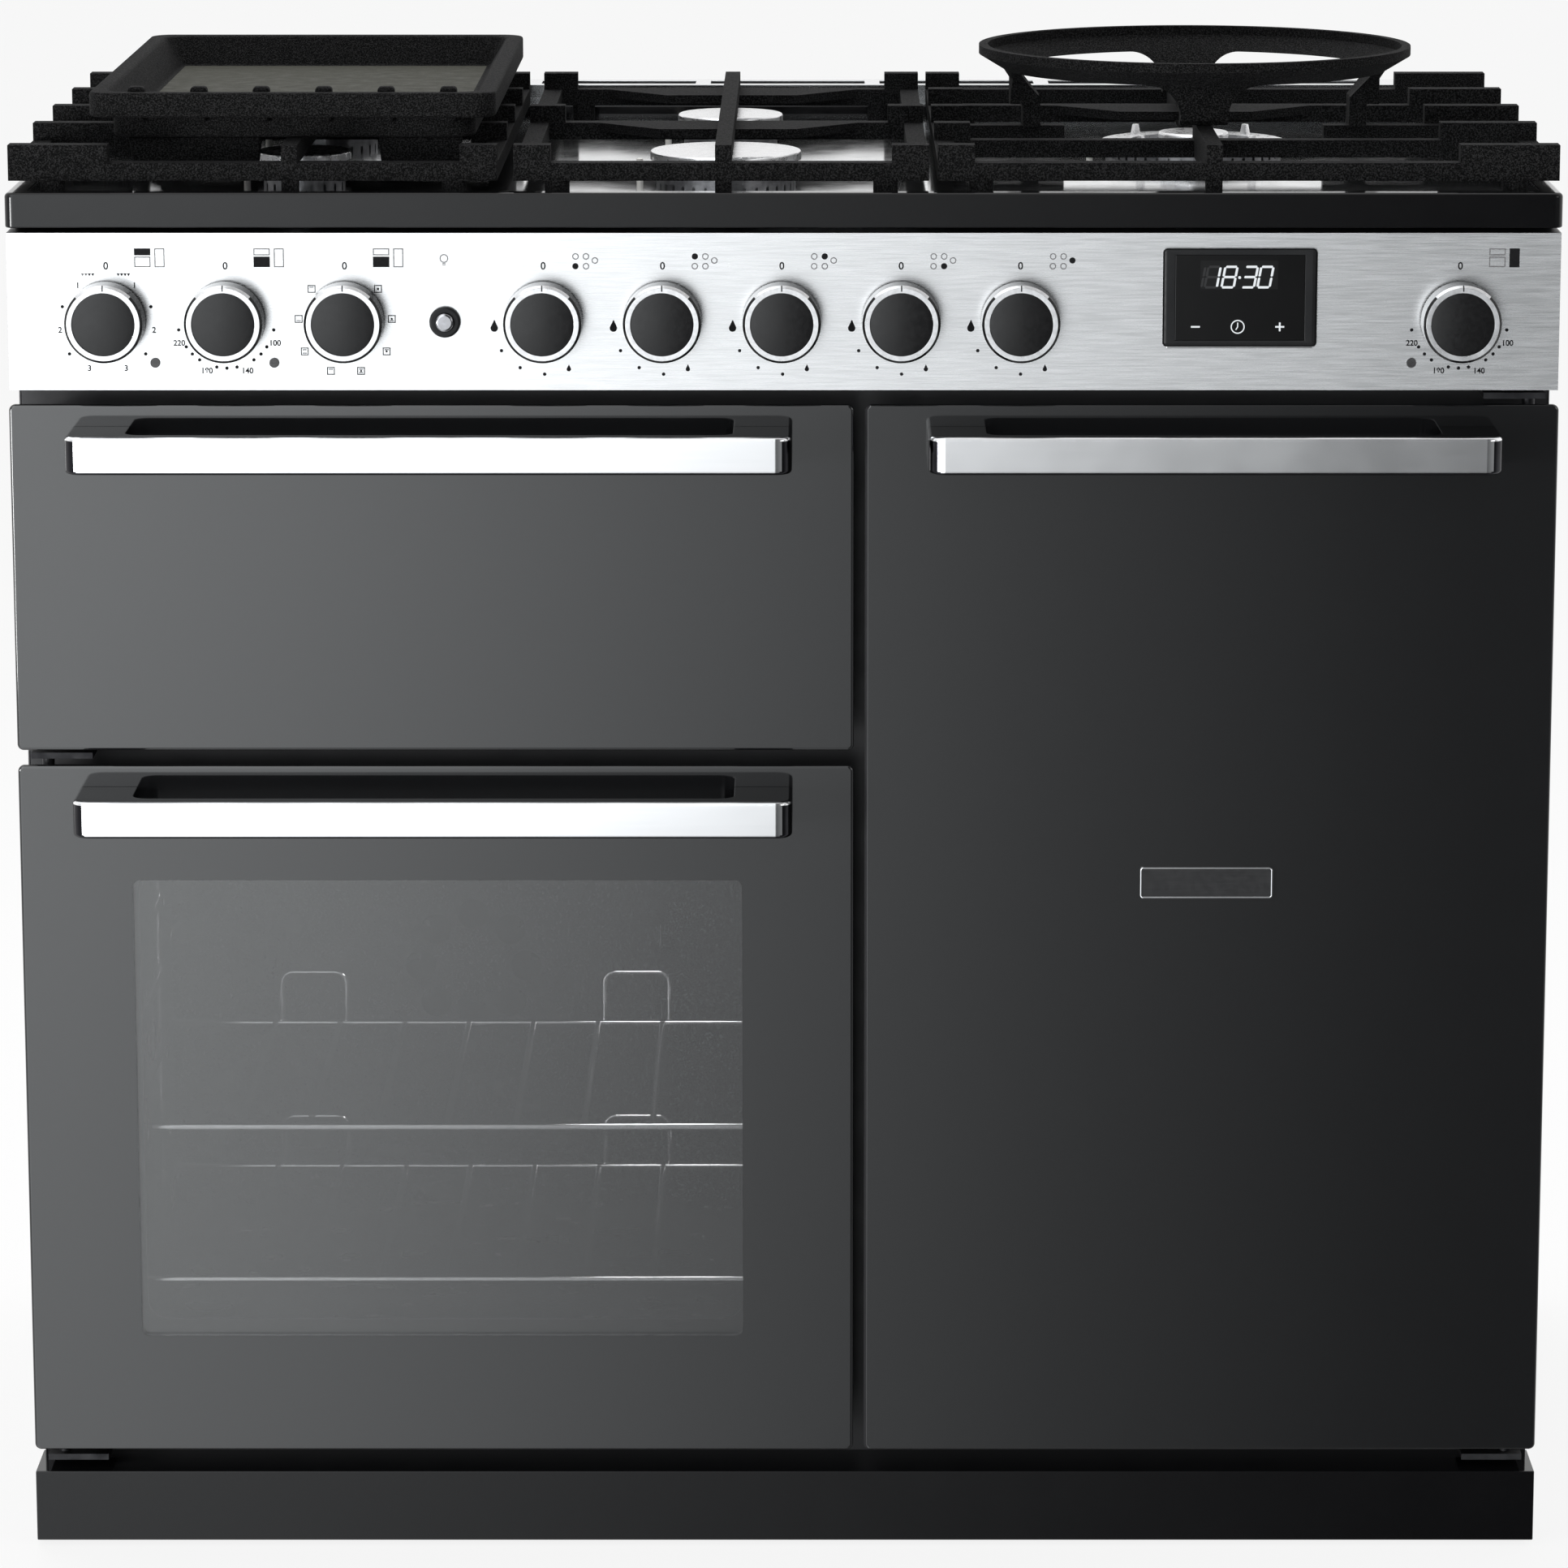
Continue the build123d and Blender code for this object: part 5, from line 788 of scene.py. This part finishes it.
ICON_LINE = 0.6 * MM
ICON_BAR = (2.8 * MM, 0.55 * MM)
ICON_BAR_OFF = 1.1                      # a bar above or below the icon's middle
ICON_FAN_R = 0.7 * MM
ICON_PLACES = ((-21.3, 20.0), (21.3, 20.0), (-29.9, 0.6), (29.9, 0.6),
               (-26.3, -20.4), (26.3, -20.4), (-9.7, -33.0), (9.7, -33.0))
ICON_PARTS = ("top", "fan", "base", "fan base", "top base", "top fan", "top", "top fan base")
for (dx, dz), parts in zip(ICON_PLACES, ICON_PARTS):
    printed(outline(bar(ICON_SIZE, ICON_SIZE), ICON_LINE), black_marks, about(COOKING, [(dx, dz)]))
    if "top" in parts:
        printed(bar(*ICON_BAR), black_marks, about(COOKING, [(dx, dz + ICON_BAR_OFF)]))
    if "base" in parts:
        printed(bar(*ICON_BAR), black_marks, about(COOKING, [(dx, dz - ICON_BAR_OFF)]))
    if "fan" in parts:
        printed(disc(ICON_FAN_R, 12), black_marks, about(COOKING, [(dx, dz)]))
BULB = (-0.2177, KNOB_Z + 39.6 * MM)
BULB_R = 2.8 * MM
BULB_CAP = (2.2 * MM, 0.5 * MM)
BULB_CAP_LINES = [(BULB[0], BULB[1] - 3.2 * MM), (BULB[0], BULB[1] - 4.1 * MM)]
printed(outline(disc(BULB_R), ROUND_LINE), grey_marks, [BULB])
printed(bar(*BULB_CAP), grey_marks, BULB_CAP_LINES)


def inked(name, marks, finish, thick=0.00012):
    """Join flat marks, give them the thickness of a coat of ink and fix them to the panel."""
    coat = joined(name, marks)
    pick(coat, "faces", lambda face: True)
    bpy.ops.mesh.remove_doubles(threshold=0.000002)
    done()
    apply_new(coat, "SOLIDIFY", thickness=thick, offset=-1)
    return fit(coat, finish, "chassis", "black_plastic")


black_ink = finish_of("black_ink", (0.008, 0.008, 0.009), 0.6, Specular_IOR_Level=0.1)
mottle(black_ink, grain(black_ink, 800.0), (0.006, 0.006, 0.007), (0.012, 0.012, 0.013))
grey_ink = finish_of("grey_ink", (0.18, 0.18, 0.185), 0.6, Specular_IOR_Level=0.1)
mottle(grey_ink, grain(grey_ink, 800.0), (0.16, 0.16, 0.165), (0.21, 0.21, 0.215))
inked("panel_marks", black_marks, black_ink)
inked("panel_outline_marks", grey_marks, grey_ink)

# Timer display: lit bar digits behind the black glass, with unlit ones faint beside them, over three
# touch keys for less, set and more.
GLASS_Y = TIMER_FRONT - 0.0001
DIGIT_W = 0.0078
DIGIT_TALL = 0.0132
DIGIT_LINE = 0.0015
DIGIT_LEAN = 0.18
DIGIT_Z = 0.8515
LIT = {"0": "abcdef", "1": "bc", "3": "abcdg", "8": "abcdefg"}
half_w = DIGIT_W / 2
half_t = DIGIT_TALL / 2
SEGMENTS = {"a": (0, half_t, 0), "b": (half_w, half_t / 2, 1), "c": (half_w, -half_t / 2, 1),
            "d": (0, -half_t, 0), "e": (-half_w, -half_t / 2, 1), "f": (-half_w, half_t / 2, 1),
            "g": (0, 0, 0)}


def segment(x, z, upright):
    """One bar of a digit, with pointed ends."""
    long = (half_t if upright else DIGIT_W) - DIGIT_LINE * 0.5
    lit_bar = disc(DIGIT_LINE / 2 / math.cos(math.radians(30)), 6, GLASS_Y)
    stretch = (long - DIGIT_LINE) / 2
    for side in (-1, 1):
        pick(lit_bar, "faces", lambda face: False)
        bpy.ops.mesh.select_mode(type="VERT")
        edited = bmesh.from_edit_mesh(lit_bar.data)
        axis = max(range(2), key=lambda k: max(abs((v.co.x, v.co.z)[k]) for v in edited.verts))
        for point in edited.verts:
            point.select_set(side * (point.co.x, point.co.z)[axis] > 0.0001)
        bmesh.update_edit_mesh(lit_bar.data)
        bpy.ops.transform.translate(value=(side * stretch, 0, 0) if axis == 0 else (0, 0, side * stretch))
        done()
    if upright == (axis == 0):
        lit_bar.data.transform(Matrix.Rotation(math.radians(90), 4, "Y"))
    lit_bar.data.transform(Matrix.Translation((x, 0, z)))
    return lit_bar


def digit(shape, x):
    """The lit bars of one digit, leaning to the right."""
    whole = joined("digit", [segment(*SEGMENTS[name]) for name in LIT[shape]])
    for point in whole.data.vertices:
        point.co.x += DIGIT_LEAN * point.co.z
    whole.data.transform(Matrix.Translation((x, 0, DIGIT_Z)))
    return whole


CLOCK = (("1", 0.2748), ("8", 0.2856), ("3", 0.2986), ("0", 0.3086))
COLON_AT = (0.2921, 0.8512)
COLON_R = 0.95 * MM
KEY_Z = 0.8194
LESS_X = 0.2641
SET_X = 0.2912
MORE_X = 0.3182
KEY_BAR = (5.8 * MM, 1.1 * MM)
PLUS_ARM = (1.1 * MM, 2.3 * MM)
PLUS_ARM_OFF = 1.7 * MM
DIAL_R = 4.5 * MM
DIAL_LINE = 0.75 * MM
LONG_HAND = (0.7 * MM, 2.9 * MM)
SHORT_HAND = (0.7 * MM, 2.2 * MM)
HAND_TURN = 35                          # degrees that the short hand leans
lit_marks = [digit(shape, x) for shape, x in CLOCK]
printed(disc(COLON_R, 12, GLASS_Y), lit_marks, [COLON_AT])
printed(bar(*KEY_BAR, y=GLASS_Y), lit_marks, [(LESS_X, KEY_Z), (MORE_X, KEY_Z)])
for off in (PLUS_ARM_OFF, -PLUS_ARM_OFF):
    printed(bar(*PLUS_ARM, y=GLASS_Y), lit_marks, [(MORE_X, KEY_Z + off)])
printed(outline(disc(DIAL_R, 40, GLASS_Y), DIAL_LINE), lit_marks, [(SET_X, KEY_Z)])
printed(bar(*LONG_HAND, y=GLASS_Y), lit_marks, [(SET_X, KEY_Z + 1.3 * MM)])
hand = bar(*SHORT_HAND, y=GLASS_Y)
hand.data.transform(Matrix.Rotation(math.radians(HAND_TURN), 4, "Y"))
printed(hand, lit_marks, [(SET_X - 0.6 * MM, KEY_Z - 1.0 * MM)])
LIT["dim"] = "adefg"                    # the bars beside a lit 1
GHOST_X = 0.2650                        # an unlit 1 before the clock's first digit
ghost_marks = [digit("dim", CLOCK[0][1]), digit("1", GHOST_X)]
display_lit = finish_of("display_lit", (0.02, 0.02, 0.02), 0.4, Emission_Color=(0.86, 0.9, 0.93, 1),
                        Emission_Strength=0.9)
mottle(display_lit, grain(display_lit, 500.0), (0.018, 0.018, 0.018), (0.024, 0.024, 0.024))
display_dim = finish_of("display_dim", (0.012, 0.012, 0.013), 0.3)
mottle(display_dim, grain(display_dim, 500.0), (0.011, 0.011, 0.012), (0.014, 0.014, 0.015))
display_pane = finish_of("display_pane", (0.0055, 0.0057, 0.006), 0.12)
mottle(display_pane, grain(display_pane, 90.0), (0.0050, 0.0052, 0.0055), (0.0060, 0.0062, 0.0065))
PANE_SIZE = (49.6 * MM, 18.6 * MM)
PANE_AT = (0.2918, 0.8529)
pane = [bar(*PANE_SIZE, *PANE_AT, TIMER_FRONT - 0.00005)]
inked("timer_display_pane", pane, display_pane, 0.00004)
inked("timer_digits", lit_marks, display_lit)
inked("timer_unlit_digits", ghost_marks, display_dim, 0.00008)

# Knobs: dark lacquered shells with a satin steel ring let into the front, a bright sector at the top
# with a black pointer line, and a slightly crowned charcoal face. Oven knobs carry their spindle.
KNOB_BACK = PANEL_Y - 0.005
KNOB_FRONT = PANEL_Y - 0.024
KNOB_SKIRT_R = 0.0253
KNOB_FRONT_R = 0.0250
KNOB_RIM_R = 0.0234
KNOB_FACE_R = 0.0203
KNOB_EDGE = 0.0016
FACE_DEEP = 0.0014
SECTOR_HALF = math.radians(45)          # bright sector either side of the top
POINTER_HALF = 0.0004
POINTER_FOOT_R = 0.0213                 # where the line starts on the ring
POINTER_OUT = 0.0003
FACE_CROWN = ((0.0042, 0.00026), (0.004, 0.00019), (0.004, 0.00014), (0.004, 0.00008), (0.003, 0.00003))
SPINDLE_R = 0.004
SPINDLE_FLAT = 0.0025                   # flat side above the axis
SPINDLE_FRONT = KNOB_BACK - 0.014
SPINDLE_REAR = PANEL_Y + 0.034
shell = rod("knob_shell", KNOB_SKIRT_R, KNOB_FRONT + KNOB_EDGE, KNOB_BACK, 0, KNOB_Z, 96)
knob_axis = (0, 0, KNOB_Z)
pick(shell, "faces", lambda face: face.normal.y < -0.9)
taper = KNOB_FRONT_R / KNOB_SKIRT_R
bpy.ops.transform.resize(value=(taper, 1, taper), center_override=knob_axis)
bpy.ops.mesh.extrude_region_move(TRANSFORM_OT_translate={"value": (0, -KNOB_EDGE, 0)})
taper = KNOB_RIM_R / KNOB_FRONT_R
bpy.ops.transform.resize(value=(taper, 1, taper), center_override=knob_axis)
bpy.ops.mesh.inset(thickness=KNOB_RIM_R - KNOB_FACE_R)
bpy.ops.mesh.extrude_region_move(TRANSFORM_OT_translate={"value": (0, FACE_DEEP, 0)})
done()


def lifted(piece, name, test, thick):
    """A thin skin copied from some of a piece's faces and given thickness outwards."""
    skin = copied(piece)
    pick(skin, "faces", lambda face: not test(face))
    bpy.ops.mesh.delete(type="FACE")
    done()
    apply_new(skin, "SOLIDIFY", thickness=thick, offset=1)
    skin.name = name
    return skin


def on_chamfer_top(face):
    """Whether a face lies on the chamfer, in the sector at the top."""
    middle = face.calc_center_median() - Vector(knob_axis)
    turn = math.atan2(middle.x, middle.z)
    return -0.9 < face.normal.y < -0.4 and abs(turn) < SECTOR_HALF


def on_rim(face):
    """Whether a face lies on the flat ring round the knob's face."""
    middle = face.calc_center_median() - Vector(knob_axis)
    return face.normal.y < -0.9 and math.hypot(middle.x, middle.z) > KNOB_FACE_R


ring = lifted(shell, "knob_ring", on_rim, 0.0001)
sector = lifted(shell, "knob_sector", on_chamfer_top, 0.0002)
pointer = cube("knob_pointer", (-POINTER_HALF, KNOB_FRONT - POINTER_OUT, KNOB_Z + POINTER_FOOT_R),
               (POINTER_HALF, KNOB_FRONT + POINTER_OUT, KNOB_Z + KNOB_FRONT_R))
pick(pointer, "faces", lambda face: True)
bpy.ops.mesh.bisect(plane_co=(0, 0, KNOB_Z + KNOB_RIM_R), plane_no=(0, 0, 1))
done()
pick(pointer, "faces", lambda face: face.normal.z > 0.9)
bpy.ops.transform.translate(value=(0, KNOB_EDGE, 0))
done()
face = rod("knob_face", KNOB_FACE_R - 0.0001, KNOB_FRONT + 0.0010, KNOB_FRONT + FACE_DEEP, 0, KNOB_Z, 96)
pick(face, "faces", lambda side: side.normal.y < -0.9)
for inset, rise in FACE_CROWN:
    bpy.ops.mesh.inset(thickness=inset, depth=rise)
done()
spindle = rod("knob_spindle", SPINDLE_R, SPINDLE_FRONT, SPINDLE_REAR, 0, KNOB_Z, 32)
pick(spindle, "faces", lambda side: True)
bpy.ops.mesh.bisect(plane_co=(0, 0, KNOB_Z + SPINDLE_FLAT), plane_no=(0, 0, 1), clear_outer=True,
                    use_fill=True)
done()
for piece in (shell, ring, sector, face):
    ease(piece, 0.0002)
ease(pointer, 0.0)
ease(spindle, 0.0003)
knob_black = finish_of("knob_black", (0.006, 0.006, 0.0065), 0.16, IOR=1.4)
mottle(knob_black, grain(knob_black, 300.0), (0.005, 0.005, 0.0055), (0.0075, 0.0075, 0.008))
vary(knob_black, grain(knob_black, 90.0), "Roughness", 0.12, 0.2)
knob_satin = finish_of("knob_satin", (0.78, 0.78, 0.79), 0.3, 1.0)
mottle(knob_satin, grain(knob_satin, 400.0), (0.72, 0.72, 0.73), (0.84, 0.84, 0.85))
vary(knob_satin, grain(knob_satin, 90.0), "Roughness", 0.26, 0.36)
knob_charcoal = finish_of("knob_charcoal", (0.006, 0.006, 0.0065), 0.22, IOR=1.42)
mottle(knob_charcoal, grain(knob_charcoal, 900.0), (0.005, 0.005, 0.0055), (0.008, 0.008, 0.0085))
vary(knob_charcoal, grain(knob_charcoal, 300.0), "Roughness", 0.18, 0.26)
OVEN_NAMES = ("grill_knob", "left_oven_knob", "oven_function_knob", "right_oven_knob")
GAS_NAMES = ("front_left", "rear_left", "rear_centre", "front_centre", "wok")
knobs = [(name, x, True) for name, x in zip(OVEN_NAMES, OVEN_KNOBS)]
knobs += [(name + "_gas_knob", x, False) for name, x in zip(GAS_NAMES, GAS_KNOBS)]
for name, x, driven in knobs:
    dark = [copied(shell, x), copied(pointer, x)] + ([copied(spindle, x)] if driven else [])
    fit(joined(name + "_shell", dark), knob_black, name, "knob_metal", name)
    bright = [copied(ring, x), copied(sector, x)]
    fit(joined(name + "_ring", bright), knob_satin, name, "bright_chrome", name)
    crowned = copied(face, x)
    crowned.name = name + "_face"
    fit(crowned, knob_charcoal, name, "knob_metal", name)
for piece in (shell, ring, sector, pointer, face, spindle):
    bpy.data.objects.remove(piece)
# The tap spindles take the same darkened steel, a painted shade in the gap behind the knobs.
for name in GAS_NAMES:
    paint(name + "_tap_spindle", painted_shade_steel)

# Doors: slate enamelled skins on dark inner frames, each with a polished bar handle on two legs. The
# left one is a sheet of dark printed glass, clear over the oven's window, with a second pane behind.
# The right one's skin is folded back dull along its inner edge. Each handle's chrome comes in two
# copies: near black on the legs and ends, a painted shade for the dark that the bar mirrors, and near
# white on the front, the upper edge and the back, a painted highlight.
slate_enamel = finish_of("slate_enamel", (0.008, 0.0083, 0.009), 0.05, IOR=1.72)
mottle(slate_enamel, grain(slate_enamel, 1500.0, detail=1.0), (0.007, 0.0073, 0.008), (0.009, 0.0093, 0.010))
vary(slate_enamel, grain(slate_enamel, 25.0), "Roughness", 0.03, 0.065)
window_glass = finish_of("window_glass", (0.008, 0.0083, 0.009), 0.03, IOR=2.75, Alpha=0.3)
vary(window_glass, grain(window_glass, 25.0), "Roughness", 0.02, 0.045)
inner_glass = finish_of("inner_glass", (0.02, 0.021, 0.022), 0.04, Alpha=0.12)
vary(inner_glass, grain(inner_glass, 25.0), "Roughness", 0.02, 0.05)
door_inner = finish_of("door_inner", (0.02, 0.02, 0.022), 0.4)
mottle(door_inner, grain(door_inner, 500.0, detail=1.0), (0.018, 0.018, 0.02), (0.024, 0.024, 0.026))
vary(door_inner, grain(door_inner, 60.0), "Roughness", 0.32, 0.5)
# Near-black chrome: a painted shade for the dark reflection along the handle's legs and ends.
handle_shade_chrome = finish_of("handle_shade_chrome", (0.03, 0.03, 0.033), 0.12, 1.0)
mottle(handle_shade_chrome, grain(handle_shade_chrome, 40.0), (0.025, 0.025, 0.028), (0.035, 0.035, 0.039))
vary(handle_shade_chrome, grain(handle_shade_chrome, 30.0), "Roughness", 0.09, 0.15)
# Near-white chrome: a painted highlight on the handle's front, upper edge and back.
handle_painted_highlight = finish_of("handle_painted_highlight", (0.96, 0.96, 0.97), 0.16, 1.0)
mottle(handle_painted_highlight, grain(handle_painted_highlight, 1.0, (12, 300, 300)), (0.95, 0.95, 0.96), (0.97, 0.97, 0.98))
vary(handle_painted_highlight, grain(handle_painted_highlight, 30.0), "Roughness", 0.14, 0.18)
for door in ("grill_door", "left_door", "right_door"):
    dress(door + "_frame", door_inner, door, "door_inner", 0.0006)
    bar_handle = dress(door + "_handle", handle_shade_chrome, door, "bright_chrome", 0.0009)
    bar_handle.data.materials.append(handle_painted_highlight)
    # Front, upper edge and back faces take the painted highlight.
    for side in bar_handle.data.polygons:
        highlit_upper_edge = side.normal.y < -0.2 and side.normal.z > 0.2
        if side.normal.y < -0.93 or highlit_upper_edge or side.normal.y > 0.97:
            side.material_index = 1
dress("grill_door_skin", slate_enamel, "grill_door", "slate_enamel")
skin_fold = finish_of("skin_fold", (0.03, 0.03, 0.032), 0.6, Specular_IOR_Level=0.03)
mottle(skin_fold, grain(skin_fold, 1500.0, detail=1.0), (0.027, 0.027, 0.029), (0.033, 0.033, 0.035))
right_skin = dress("right_door_skin", slate_enamel, "right_door", "slate_enamel")
right_skin.data.materials.append(skin_fold)
for side in right_skin.data.polygons:
    if side.normal.x < -0.15:
        side.material_index = 1

WINDOW_LOW = (-0.426, 0.146)            # left and lower edges of the window
WINDOW_HIGH = (-0.0277, 0.455)
WINDOW_R = 0.005
WINDOW_CUT_Y = (PANEL_Y - 0.01, PANEL_Y + 0.02)
glass = merged("left_door_glass")
pick(glass, "faces", lambda side: True)
bpy.ops.mesh.separate(type="LOOSE")
done()
sheets = sorted(bpy.context.selected_objects, key=lambda sheet: min(v.co.y for v in sheet.data.vertices))
border, inner_pane = sheets
opening = cube("opening", (WINDOW_LOW[0], WINDOW_CUT_Y[0], WINDOW_LOW[1]),
               (WINDOW_HIGH[0], WINDOW_CUT_Y[1], WINDOW_HIGH[1]))
pick(opening, "edges", lambda edge: abs(edge.verts[0].co.y - edge.verts[1].co.y) > 0.01)
bpy.ops.mesh.bevel(offset=WINDOW_R, segments=10, affect="EDGES")
done()
window = copied(border)
window.name = "left_door_window"
cut(window, copied(opening), "INTERSECT")
cut(border, opening)
border.name = "left_door_border"
inner_pane.name = "left_door_inner_pane"
fit(ease(border, 0.0), slate_enamel, "left_door", "slate_glass", "left_door_glass")
fit(ease(window, 0.0), window_glass, "left_door", "slate_glass", "left_door_glass")
fit(ease(inner_pane, 0.0004), inner_glass, "left_door", "slate_glass", "left_door_glass")

# Badge plate: a blank plate of dark brushed metal in a thin polished rim, stuck to the right door at
# half its height.
BADGE_LOW = (0.2325, 0.4434)
BADGE_HIGH = (0.319, 0.464)
BADGE_OUT = 0.0018
BADGE_LINE = 0.0011
BADGE_CORNER = 0.002
BADGE_SHEET = 0.0003
rim = cube("badge_rim", (BADGE_LOW[0], PANEL_Y - BADGE_OUT, BADGE_LOW[1]),
           (BADGE_HIGH[0], PANEL_Y, BADGE_HIGH[1]))
pick(rim, "edges", lambda edge: abs(edge.verts[0].co.y - edge.verts[1].co.y) > 0.001)
bpy.ops.mesh.bevel(offset=BADGE_CORNER, segments=5, affect="EDGES")
done()
pick(rim, "faces", lambda side: side.normal.y < -0.9)
bpy.ops.mesh.inset(thickness=BADGE_LINE)
bpy.ops.mesh.extrude_region_move(TRANSFORM_OT_translate={"value": (0, BADGE_OUT / 2, 0)})
done()


def on_badge_floor(side):
    """Whether a face is the sunk floor inside the rim."""
    sunk = max(v.co.y for v in side.verts) > PANEL_Y - BADGE_OUT * 0.75
    return side.normal.y < -0.9 and len(side.verts) > 8 and sunk


blank = lifted(rim, "badge_plate", on_badge_floor, BADGE_SHEET)
badge_black = finish_of("badge_black", (0.010, 0.010, 0.011), 0.35)
mottle(badge_black, grain(badge_black, 1.0, (40, 900, 900)), (0.008, 0.008, 0.009), (0.013, 0.013, 0.014))
vary(badge_black, grain(badge_black, 200.0), "Roughness", 0.28, 0.42)
fit(ease(rim, 0.0002), bright_chrome, "right_door", "bright_chrome")
fit(ease(blank, 0.0), badge_black, "right_door", "door_inner")
